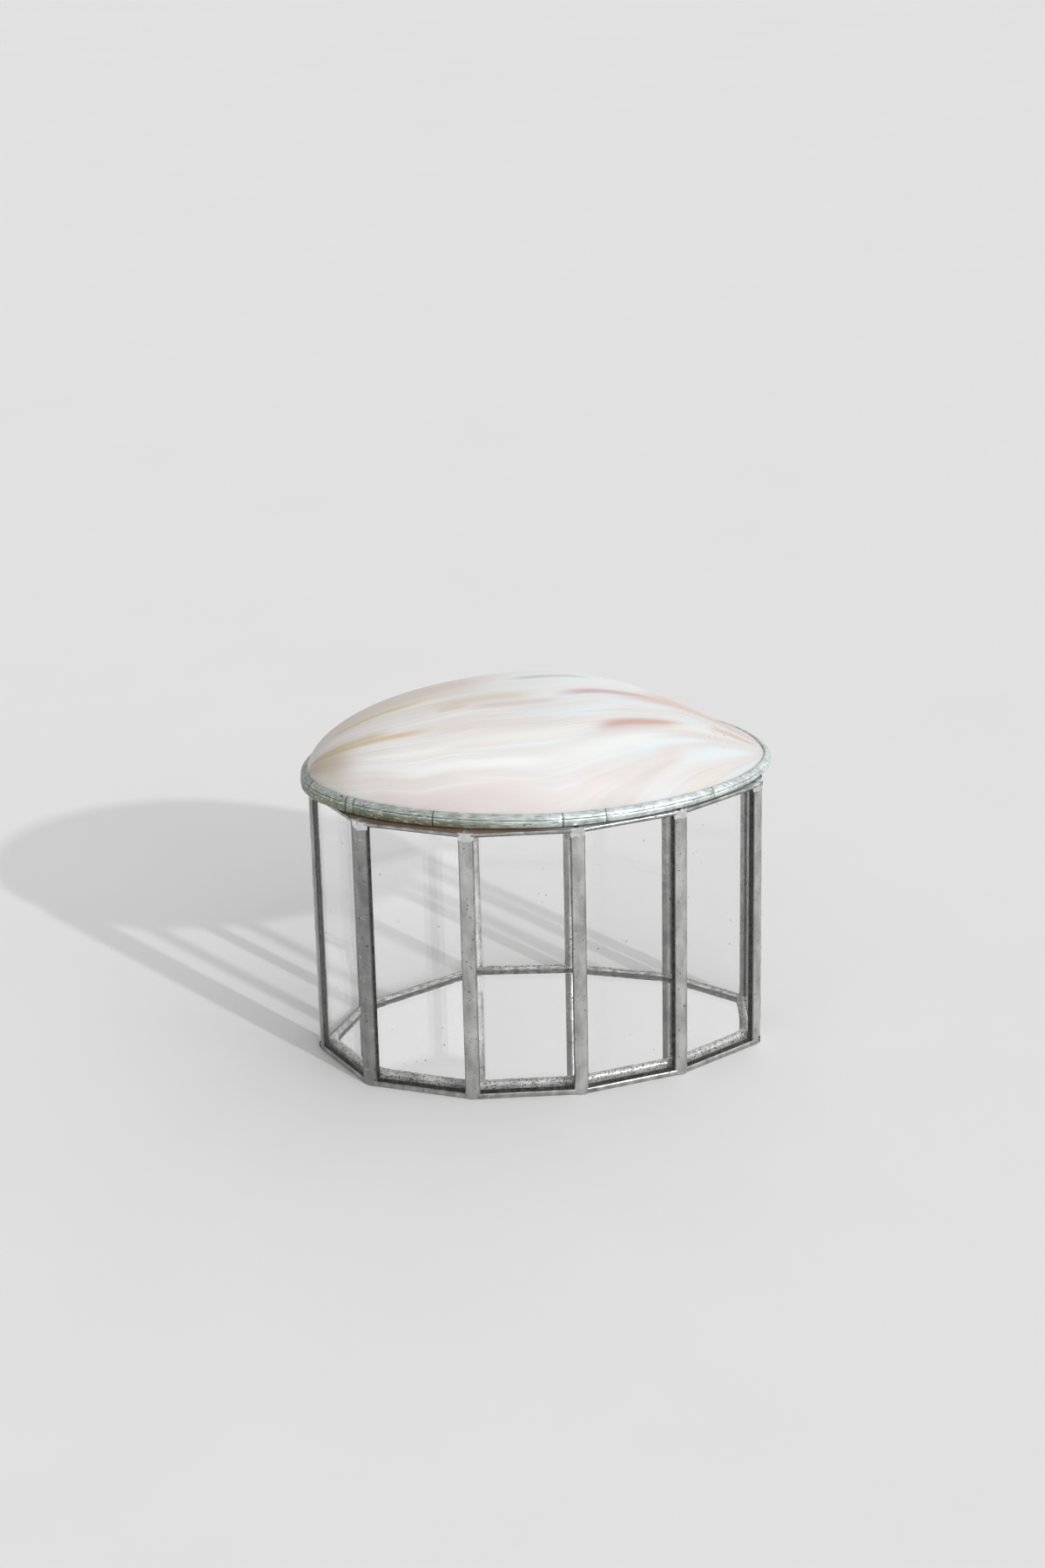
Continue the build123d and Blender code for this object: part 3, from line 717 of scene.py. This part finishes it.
# A fillet of solder fills the corner between the tube and the rim above it
tube_low, tube_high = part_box("hinge_tube")
fillet_low, fillet_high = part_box("hinge_tube_solder")
tube_outline = [
    (-1.02, 0.5, 0, 0), (0.0, 0.95, 0, 0), (1.02, 0.5, 0, 0), (0.98, 0.8, 0, 1),
    (0.9, 1.1, 0, 1), (0.9, 1.35, 0, 0), (-0.9, 1.35, 0, 0), (-0.9, 1.1, 0, 1),
    (-0.98, 0.8, 0, 1), (-1.02, 0.5, 0, 0),
]
tube_middle = (tube_low + tube_high) / 2
tube_rings = 60
path = []
for k in range(tube_rings + 1):
    share = k / tube_rings
    full = (1 - (2 * share - 1) ** 12) ** 0.5 * MM
    x = fillet_low.x + (fillet_high.x - fillet_low.x) * share
    path.append(((x, tube_middle.y, tube_middle.z), (0, full, 0), (0, 0, MM if full else 0.0), (0, 0, 0)))
run = solder_run("hinge_tube_run", path, tube_outline, post_solder, (0.15, 1.5), (0.15, 5), 61.0, "lid")
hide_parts("hinge_tube_solder")

# Shell: the dome of the lid is half of a sea snail's shell, ground flat and polished down to the
# nacre. Its growth lines run along it in cream, pink, tan and bluish white.
shell_half_length = 60.1
shell_front_depth = 34.0
shell_back_depth = 39.8
front_roundness = 1.85
back_roundness = 2.0
shell_turn = radians(5.8)
shell_centre = (0.0, -1.95)
lengths = {
    "Half Length": shell_half_length, "Front Depth": shell_front_depth, "Back Depth": shell_back_depth,
    "Wall": 2.2, "Base": 77.1, "Top": 99.12, "Left Edge": 79.9, "Right Edge": 78.6, "Inner Drop": 1.0,
    "Waves": 0.5,
}
shell_values = {name: length * MM for name, length in lengths.items()}
shell_values["Front Roundness"] = front_roundness
shell_values["Back Roundness"] = back_roundness
shell_values["Turn"] = shell_turn
others = {"Centre": "Vector", "Points Around": "Int", "Levels": "Int"}
tree, given = new_tree("shell_dome", tuple(shell_values), others)
shell_tree = tree
# One grid makes the whole closed shell: rows run down the inside, over the ground face, up the outside
rows = add(tree, "FunctionNodeIntegerMath", {0: given["Levels"], 1: 2}, "MULTIPLY")
columns = add(tree, "FunctionNodeIntegerMath", {0: given["Points Around"], 1: 1}, "ADD")
grid = add(tree, "GeometryNodeMeshGrid", {"Vertices X": columns, "Vertices Y": rows})
index = add(tree, "GeometryNodeInputIndex")
column = add(tree, "FunctionNodeIntegerMath", {0: index, 1: rows}, "DIVIDE_FLOOR")
row = add(tree, "FunctionNodeIntegerMath", {0: index, 1: rows}, "MODULO")
angle = add(tree, "Math", {0: column, 1: given["Points Around"]}, "DIVIDE")
angle = add(tree, "Math", {0: angle, 1: tau}, "MULTIPLY")
c = add(tree, "Math", {0: angle}, "COSINE")
s = add(tree, "Math", {0: angle}, "SINE")
last_inside = add(tree, "Math", {0: given["Levels"], 1: 0.5}, "SUBTRACT")
is_outside = add(tree, "Math", {0: row, 1: last_inside}, "GREATER_THAN")
outside_step = add(tree, "Math", {0: row, 1: given["Levels"]}, "SUBTRACT")
inside_step = add(tree, "Math", {0: -1.0, 1: outside_step}, "SUBTRACT")
step = add(tree, "Mix", {0: is_outside, 2: inside_step, 3: outside_step}, data_type="FLOAT")
is_foot = add(tree, "Math", {0: step, 1: 0.5}, "LESS_THAN")
# Heights are even steps of an angle, so that levels crowd near the flat top
last_step = add(tree, "Math", {0: given["Levels"], 1: 2.0}, "SUBTRACT")
level = add(tree, "Math", {0: step, 1: 1.0}, "SUBTRACT")
level = add(tree, "Math", {0: level, 1: last_step}, "DIVIDE", use_clamp=True)
level = add(tree, "Math", {0: level, 1: pi / 2}, "MULTIPLY")
share = add(tree, "Math", {0: level}, "SINE")
# Each level is drawn in by a root of what a power of its height leaves: the left end is as round
# as an ellipse, and the right end slopes down more evenly
left_curve = (1.9, 0.48)
right_curve = (0.8, 0.47)
drawn_in = []
for power, root in (left_curve, right_curve):
    left_over = add(tree, "Math", {0: share, 1: power}, "POWER")
    left_over = add(tree, "Math", {0: 1.0, 1: left_over}, "SUBTRACT")
    left_over = add(tree, "Math", {0: left_over, 1: 0.0}, "MAXIMUM")
    drawn_in.append(add(tree, "Math", {0: left_over, 1: root}, "POWER"))
left_share, right_share = drawn_in
is_inside = add(tree, "Math", {0: 1.0, 1: is_outside}, "SUBTRACT")
inset = add(tree, "Math", {0: is_inside, 1: given["Wall"]}, "MULTIPLY")
half_length = add(tree, "Math", {0: given["Half Length"], 1: inset}, "SUBTRACT")
is_back = add(tree, "Math", {0: s, 1: 0.0}, "GREATER_THAN")
depths = {0: is_back, 2: given["Front Depth"], 3: given["Back Depth"]}
half_depth = add(tree, "Mix", depths, data_type="FLOAT")
half_depth = add(tree, "Math", {0: half_depth, 1: inset}, "SUBTRACT")
half_depth = add(tree, "Math", {0: half_depth, 1: left_share}, "MULTIPLY")
is_right = add(tree, "Math", {0: c, 1: 0.0}, "GREATER_THAN")
length_share = add(tree, "Mix", {0: is_right, 2: left_share, 3: right_share}, data_type="FLOAT")
this_length = add(tree, "Math", {0: half_length, 1: length_share}, "MULTIPLY")
roundness = {0: is_back, 2: given["Front Roundness"], 3: given["Back Roundness"]}
roundness = add(tree, "Mix", roundness, data_type="FLOAT")
roundness = add(tree, "Mix", {0: share, 2: roundness, 3: 2.0}, data_type="FLOAT")
power = add(tree, "Math", {0: 2.0, 1: roundness}, "DIVIDE")
plan = []
for wave, reach in ((c, this_length), (s, half_depth)):
    size = add(tree, "Math", {0: wave}, "ABSOLUTE")
    size = add(tree, "Math", {0: size, 1: power}, "POWER")
    size = add(tree, "Math", {0: size, 1: reach}, "MULTIPLY")
    sign = add(tree, "Math", {0: wave}, "SIGN")
    plan.append(add(tree, "Math", {0: size, 1: sign}, "MULTIPLY"))
top = add(tree, "Math", {0: given["Top"], 1: inset}, "SUBTRACT")
drop = add(tree, "Math", {0: is_inside, 1: given["Inner Drop"]}, "MULTIPLY")
ends = []
for edge in ("Left Edge", "Right Edge"):
    low = add(tree, "Math", {0: given[edge], 1: drop}, "SUBTRACT")
    ends.append(add(tree, "Mix", {0: share, 2: low, 3: top}, data_type="FLOAT"))
middle = add(tree, "Math", {0: ends[0], 1: ends[1]}, "ADD")
middle = add(tree, "Math", {0: middle, 1: 0.5}, "MULTIPLY")
slope = add(tree, "Math", {0: ends[1], 1: ends[0]}, "SUBTRACT")
slope = add(tree, "Math", {0: slope, 1: 0.5}, "MULTIPLY")
slope = add(tree, "Math", {0: slope, 1: half_length}, "DIVIDE")
height = add(tree, "Math", {0: slope, 1: plan[0], 2: middle}, "MULTIPLY_ADD")
height = add(tree, "Mix", {0: is_foot, 2: height, 3: given["Base"]}, data_type="FLOAT")
own = add(tree, "CombineXYZ", {0: plan[0], 1: plan[1], 2: height})
point = add(tree, "VectorRotate", {"Vector": own, "Angle": given["Turn"]}, rotation_type="Z_AXIS")
point = add(tree, "VectorMath", {0: point, 1: given["Centre"]}, "ADD")
domed = add(tree, "GeometryNodeSetPosition", {"Geometry": grid, "Position": point})
waviness = add(tree, "Math", {0: is_outside, 1: share}, "MULTIPLY")
values = {"Geometry": domed, "Name": "wavy", "Value": waviness}
wavy = add(tree, "GeometryNodeStoreNamedAttribute", values, data_type="FLOAT", domain="POINT")
merged = add(tree, "GeometryNodeMergeByDistance", {"Geometry": wavy, "Distance": merge_distance})
# Slow waves left by grinding and by the shell's own growth, only on the outside and not at its edge
here = add(tree, "GeometryNodeInputPosition")
stretched = add(tree, "VectorMath", {0: here, 1: (0.5, 1.0, 1.0)}, "MULTIPLY")
noise = add(tree, "TexNoise", {"Vector": stretched, "Scale": 1 / (14 * MM), "Detail": 1.5})
wave = add(tree, "Math", {0: noise, 1: 0.5}, "SUBTRACT")
wave = add(tree, "Math", {0: wave, 1: given["Waves"]}, "MULTIPLY")
where = add(tree, "GeometryNodeInputNamedAttribute", {"Name": "wavy"}, data_type="FLOAT")
wave = add(tree, "Math", {0: wave, 1: where}, "MULTIPLY")
shift = add(tree, "CombineXYZ", {2: wave})
waved = add(tree, "GeometryNodeSetPosition", {"Geometry": merged, "Offset": shift})
end_smooth_tree(tree, waved, given["Material"])

# Nacre is layered aragonite, polished by hand: a soft deep gloss over growth lines that run along
# the shell. In its own turned frame the lines keep one share of the half depth, and bend forward
# at the right.
nacre, tree, shader, place = new_material("nacre_polished", {"IOR": 1.53, "Specular IOR Level": 0.35})
middle = (shell_centre[0] * MM, shell_centre[1] * MM, 0)
values = {"Vector": place, "Location": middle, "Rotation": (0, 0, shell_turn)}
centred = add(tree, "Mapping", values, vector_type="TEXTURE")
in_mm = add(tree, "VectorMath", {0: centred, "Scale": 1 / MM}, "SCALE")
parts = add(tree, "SeparateXYZ", {0: in_mm})
x, y = parts.outputs["X"], parts.outputs["Y"]
wander = add(tree, "TexNoise", {"Vector": in_mm, "Scale": 1 / 24, "Detail": 1.0, "Roughness": 0.5})
wander = add(tree, "Math", {0: wander, 1: 0.5}, "SUBTRACT")
end_share = add(tree, "Math", {0: x, 1: shell_half_length}, "DIVIDE")
depth_here = add(tree, "Math", {0: end_share, 1: 2.0}, "POWER")
depth_here = add(tree, "Math", {0: 1.0, 1: depth_here}, "SUBTRACT")
least_depth_share = 0.02
bend_from = 30.0
for operation, amount in (("MAXIMUM", least_depth_share), ("POWER", 0.5), ("MULTIPLY", shell_front_depth)):
    depth_here = add(tree, "Math", {0: depth_here, 1: amount}, operation)
line = add(tree, "Math", {0: y, 1: depth_here}, "DIVIDE")
bend = x
for operation, amount in (("MAXIMUM", 0.0), ("MULTIPLY", 1 / bend_from), ("POWER", 1.5)):
    bend = add(tree, "Math", {0: bend, 1: amount}, operation)
line = add(tree, "Math", {0: bend, 1: -0.25, 2: line}, "MULTIPLY_ADD")
line = add(tree, "Math", {0: wander, 1: 0.12, 2: line}, "MULTIPLY_ADD")
# Broad bands are some 30 mm long and 7 mm apart, the fine lines in them are 2 mm apart, and hairs of
# white between those 1 mm. Each has its run along x, its layer of the noise, scale, detail, roughness
layers = ((0.006, 0.0, 5.0, 2.0, 0.5), (0.0016, 3.0, 16.0, 4.0, 0.6), (0.0006, 7.0, 34.0, 2.0, 0.6))
noises = []
for run, layer, scale, detail, roughness in layers:
    run = add(tree, "Math", {0: x, 1: run}, "MULTIPLY")
    at = add(tree, "CombineXYZ", {0: run, 1: line, 2: layer})
    values = {"Vector": at, "Scale": scale, "Detail": detail, "Roughness": roughness}
    noises.append(add(tree, "TexNoise", values))
broad, fine, hair = noises
broad_share = add(tree, "MapRange", {0: broad, 1: 0.38, 2: 0.62})
# The nacre is creamier and lighter at the left end and a cooler, deeper white at the right: partly its own
# tone, partly painted shade that evens out the stronger light on the right
right_share = add(tree, "MapRange", {0: x, 1: -35.0, 2: 25.0})
tones = []
for left, right in (("#E4E0DD", "#C5C1BF"), ("#E8EBEA", "#C8D0D2"), ("#F3F4F1", "#DEE3E3")):
    tones.append(add(tree, "Mix", {"Factor": right_share, "A": left, "B": right}, data_type="RGBA"))
pinker, whiter, white_line = tones
colour = add(tree, "Mix", {"Factor": broad_share, "A": pinker, "B": whiter}, data_type="RGBA")
fine_share = add(tree, "MapRange", {0: fine, 1: 0.4, 2: 0.66, 3: 0.0, 4: 0.6})
colour = add(tree, "Mix", {"Factor": fine_share, "A": colour, "B": "#D9CEC9"}, data_type="RGBA")
# Towards the middle of the ridge it is whiter and cooler: partly the nacre's own tone, partly a painted
# highlight along the top of the dome
ridge_tone_and_highlight = add(tree, "MapRange", {0: line, 1: -0.45, 2: 0.3, 3: 0.0, 4: 0.6})
from_middle = add(tree, "Math", {0: x, 1: 8.0}, "SUBTRACT")
from_middle = add(tree, "Math", {0: from_middle}, "ABSOLUTE")
middle_share = add(tree, "MapRange", {0: from_middle, 1: 42.0, 2: 18.0})
ridge_tone_and_highlight = add(tree, "Math", {0: ridge_tone_and_highlight, 1: middle_share}, "MULTIPLY")
colour = add(tree, "Mix", {"Factor": ridge_tone_and_highlight, "A": colour, "B": "#EFF3F4"}, data_type="RGBA")
# The hairs fade out at the front right
hair_share = add(tree, "MapRange", {0: hair, 1: 0.5, 2: 0.68, 3: 0.0, 4: 0.5})
to_right = add(tree, "MapRange", {0: x, 1: 0.0, 2: 24.0})
to_front = add(tree, "MapRange", {0: line, 1: -0.5, 2: -0.8})
faded = add(tree, "Math", {0: to_right, 1: to_front}, "MULTIPLY")
kept = add(tree, "Math", {0: faded, 1: -0.85, 2: 1.0}, "MULTIPLY_ADD")
hair_share = add(tree, "Math", {0: hair_share, 1: kept}, "MULTIPLY")
colour = add(tree, "Mix", {"Factor": hair_share, "A": colour, "B": white_line}, data_type="RGBA")
# Single streaks: middle and half length along the shell in mm, line and half width, colour, strength.
# A streak fades over three fifths of its half length, and sideways over all of its width
streaks = (
    (-34, 32, 0.42, 0.5, "#CFBBA6", 0.5),
    (-44, 19, -0.38, 0.05, "#D2BA8E", 0.8),
    (-50, 14, -0.30, 0.09, "#C6B48E", 0.7),
    (-42, 15, 0.14, 0.06, "#C9BC93", 0.8),
    (-34, 12, 0.10, 0.04, "#EDE7CF", 0.7),
    (-22, 5, -0.13, 0.05, "#D8C29B", 0.7),
    (-14, 17, -0.04, 0.10, "#D3C6B9", 0.8),
    (3, 23, 0.16, 0.10, "#DDE3E0", 0.9),
    (5, 13, 0.36, 0.07, "#BDB5B8", 0.7),
    (-6, 15, -0.17, 0.06, "#D2C2BB", 0.8),
    (20, 17, -0.06, 0.07, "#BB9FA0", 0.85),
    (26, 12, -0.26, 0.09, "#D3DADF", 0.8),
    (8, 20, -0.33, 0.07, "#D6DBDC", 0.8),
    (26, 15, -0.57, 0.07, "#BB978D", 0.9),
    (45, 20, 0.04, 0.2, "#CDB6A8", 0.7),
    (42, 24, -0.12, 0.12, "#CBB3AA", 0.85),
    (52, 8, -0.50, 0.10, "#C79F7C", 0.7),
    (42, 12, -0.62, 0.10, "#D5D6CA", 0.5),
    (33, 12, -0.84, 0.06, "#CDD9DA", 0.8),
    (36, 10, -0.95, 0.10, "#CDBFB9", 0.6),
    (46, 14, -1.02, 0.13, "#CBD6D9", 0.7),
    (12, 26, -0.77, 0.10, "#DCDDDB", 0.8),
    (-24, 32, -0.97, 0.10, "#D8CCCA", 0.75),
    (-20, 26, -0.78, 0.05, "#EAECEA", 0.8),
    (-36, 14, -0.62, 0.03, "#F1F0EA", 0.8),
    (-12, 30, -0.58, 0.09, "#E6E5DF", 0.7),
    (38, 10, -1.28, 0.03, "#CDCCB0", 0.4),
    (-60, 14, -0.55, 0.42, "#B7A283", 0.6),
)
for middle, half_run, at, half_width, tone, strength in streaks:
    along = {"off": x, "from": middle, 1: float(half_run), 2: half_run * 0.4, 4: 1.0}
    aside = {"off": line, "from": at, 1: half_width * 1.3, 2: 0.0, 4: strength}
    shares = []
    for span in (along, aside):
        off = add(tree, "Math", {0: span.pop("off"), 1: float(span.pop("from"))}, "SUBTRACT")
        span[0] = add(tree, "Math", {0: off}, "ABSOLUTE")
        shares.append(add(tree, "MapRange", span, interpolation_type="SMOOTHSTEP"))
    streak = add(tree, "Math", {0: shares[0], 1: shares[1]}, "MULTIPLY")
    colour = add(tree, "Mix", {"Factor": streak, "A": colour, "B": tone}, data_type="RGBA")
# Grinding broke into the darker outer layer at the right shoulder and left brown pits there
shoulder_place = (47.0, 3.0, 84.0)
shoulder = add(tree, "VectorMath", {0: in_mm, 1: shoulder_place}, "SUBTRACT")
shoulder = add(tree, "VectorMath", {0: shoulder}, "LENGTH")
in_shoulder = add(tree, "MapRange", {0: shoulder, 1: 14.0, 2: 6.0})
pits = add(tree, "TexNoise", {"Vector": in_mm, "Scale": 1 / 0.9, "Detail": 1.0})
pit_share = add(tree, "MapRange", {0: pits, 1: 0.68, 2: 0.73, 3: 0.0, 4: 0.8})
pit_share = add(tree, "Math", {0: pit_share, 1: in_shoulder}, "MULTIPLY")
colour = add(tree, "Mix", {"Factor": pit_share, "A": colour, "B": "#8D6F5C"}, data_type="RGBA")
rough = add(tree, "MapRange", {0: fine, 3: 0.42, 4: 0.58})
ridges = add(tree, "Bump", {"Height": fine, "Strength": 0.12, "Distance": 0.2 * MM})
feed(tree, shader, {"Base Color": colour, "Roughness": rough, "Normal": ridges})

shell_values["Centre"] = (shell_centre[0] * MM, shell_centre[1] * MM, 0.0)
shell_values["Points Around"] = 340
shell_values["Levels"] = 72
shell_values["Material"] = nacre
start = new_mesh("shell_start", [(0, 0, 0)], [])
dome = plain_mesh("polished_shell", start, shell_tree, shell_values, "lid")
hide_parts("shell_dome")
refinish("lid_rim_foil", copper_foil)

# Rim of the lid: the foil round the shell's ground edge is tinned thickly, in short strokes. A
# lip lies on the shell, a crevice runs below it, and the side bulges down to the underside.
rim_bottom = 76.6
side_heights = (3.0, 1.3)


def shell_edge(angle, out):
    """A plan point of the curve that runs parallel to the shell's edge."""
    c, s = cos(angle), sin(angle)
    roundness = back_roundness if s > 0 else front_roundness
    x = copysign((shell_half_length + out) * abs(c) ** (2 / roundness), c)
    half_depth = shell_back_depth if s > 0 else shell_front_depth
    y = copysign((half_depth + out) * abs(s) ** (2 / roundness), s)
    turned = Matrix.Rotation(shell_turn, 2) @ Vector((x, y))
    return turned + Vector(shell_centre), x


rim_solder, tree, shader, place = tinned_solder(
    "tin_lead_solder_patinated", "#A9B2B0", "#D3DCDB", "#4E5048", 0.42, bare_metal=0.5
)
# The left half is tinted olive and darkened, its side more than the lip, which faces up. The olive is
# patina; the darkening is painted shade on the faces turned from the light
way = add(tree, "SeparateXYZ", {0: add(tree, "NewGeometry").outputs["Normal"]})
side_shade_share = add(tree, "MapRange", {0: way.outputs["Z"], 1: 0.4, 2: 0.1, 3: 0.35, 4: 1.0})
at = add(tree, "SeparateXYZ", {0: place})
left_half = add(tree, "MapRange", {0: at.outputs["X"], 1: 14 * MM, 2: -24 * MM})
olive_and_shade_share = add(tree, "Math", {0: side_shade_share, 1: left_half}, "MULTIPLY")
lip_tone = shader.inputs["Base Color"].links[0].from_socket
olive_shade = {"Factor": 1.0, "A": lip_tone, "B": "#A5A78E"}
olive_shade = add(tree, "Mix", olive_shade, data_type="RGBA", blend_type="MULTIPLY")
tone = add(tree, "Mix", {"Factor": olive_and_shade_share, "A": lip_tone, "B": olive_shade}, data_type="RGBA")
# Scraping it flat left scratches half a millimetre apart that run along it
slant = {"Vector": place, "Rotation": (0, 0, radians(12)), "Scale": (0.12, 1.0, 1.0)}
slanted = add(tree, "Mapping", slant)
scratches = add(tree, "TexNoise", {"Vector": slanted, "Scale": 1 / (0.5 * MM), "Detail": 3.0})
light_share = add(tree, "MapRange", {0: scratches, 1: 0.55, 2: 0.68, 3: 0.0, 4: 0.6})
tone = add(tree, "Mix", {"Factor": light_share, "A": tone, "B": "#F1F5F4"}, data_type="RGBA")
dark_share = add(tree, "MapRange", {0: scratches, 1: 0.42, 2: 0.3, 3: 0.0, 4: 0.6})
tone = add(tree, "Mix", {"Factor": dark_share, "A": tone, "B": "#6B6E66"}, data_type="RGBA")
# Fine cracks cross the rim where one stroke of the iron met the next. Each is painted as a thin dark line:
# painted shade in the crack
cracks = (-167.4, -148.0, -145.0, -121.1, -87.0, -75.5, -44.1)
for bearing in cracks:
    crack, _ = shell_edge(radians(bearing), 1.0)
    ahead, _ = shell_edge(radians(bearing + 1.0), 1.0)
    along = (ahead - crack).normalized()
    off = add(tree, "VectorMath", {0: place, 1: (crack.x * MM, crack.y * MM, 0)}, "SUBTRACT")
    off = add(tree, "VectorMath", {0: off, 1: (*along, 0)}, "DOT_PRODUCT")
    off = add(tree, "Math", {0: off}, "ABSOLUTE")
    crack_shade_share = add(tree, "MapRange", {0: off, 1: 0.24 * MM, 2: 0.1 * MM, 3: 0.0, 4: 0.75})
    tone = add(tree, "Mix", {"Factor": crack_shade_share, "A": tone, "B": "#45453F"}, data_type="RGBA")
feed(tree, shader, {"Base Color": tone})
ring_count = 760
crack_size = 0.82
thin_back = 0.6
crack_rings = {round(bearing % 360 / 360 * ring_count) for bearing in cracks}
rim_path = []
for k in range(ring_count):
    angle = tau * k / ring_count
    point, x = shell_edge(angle, 0.0)
    beyond, _ = shell_edge(angle, 1.0)
    across = (beyond - point) * (crack_size if k in crack_rings else 1.0)
    side_height = (side_heights[0] + side_heights[1]) / 2
    side_height += (side_heights[1] - side_heights[0]) / 2 * x / shell_half_length
    # At the back right the rim is thin, and the shell hides it from the front
    side_height -= thin_back * max(0.0, sin(angle)) * max(0.0, cos(angle)) ** 0.5
    base = (point.x * MM, point.y * MM, rim_bottom * MM)
    rim_path.append((base, (*(across * MM), 0), (0, 0, MM), (0, 0, side_height * MM)))
rim_path.append(rim_path[0])
# The crest is low at the shell's edge and in the crevice, where the solder is painted in shade
rim_outline = (
    (-0.15, 0.9, 1, 0.12), (0.05, 1.06, 1, 0.5), (0.35, 1.06, 1, 0.9), (0.8, 0.9, 1, 1),
    (1.25, 0.6, 1, 1), (1.55, 0.26, 1, 1), (1.66, 0.02, 1, 0.7), (1.5, -0.1, 1, 0.1),
    (1.48, -0.22, 1, 0.1), (1.68, -0.36, 1, 0.7), (1.8, -0.3, 0.8, 1), (1.82, 0.0, 0.5, 1),
    (1.76, 0.05, 0.25, 1), (1.66, 0.08, 0, 0.7), (1.4, 0.0, 0, 0.3), (-0.5, 0.0, 0, 0.1),
    (-2.7, 0.0, 0, 0.1), (-2.9, 0.2, 0, 0.5), (-2.95, 0.7, 0, 0.8), (-2.85, 1.1, 0, 0.5),
    (-2.6, 1.2, 0, 0), (-2.32, 1.2, 0, 0), (-2.32, 0.38, 0, 0), (0.12, 0.38, 0, 0),
    (0.12, 0.3, 0.7, 0), (-0.15, 0.9, 1, 0.12),
)
rim = solder_run("tinned_rim", rim_path, rim_outline, rim_solder, (0.3, 2.0), (0.2, 10), 31.0, "lid")
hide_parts("lid_rim")
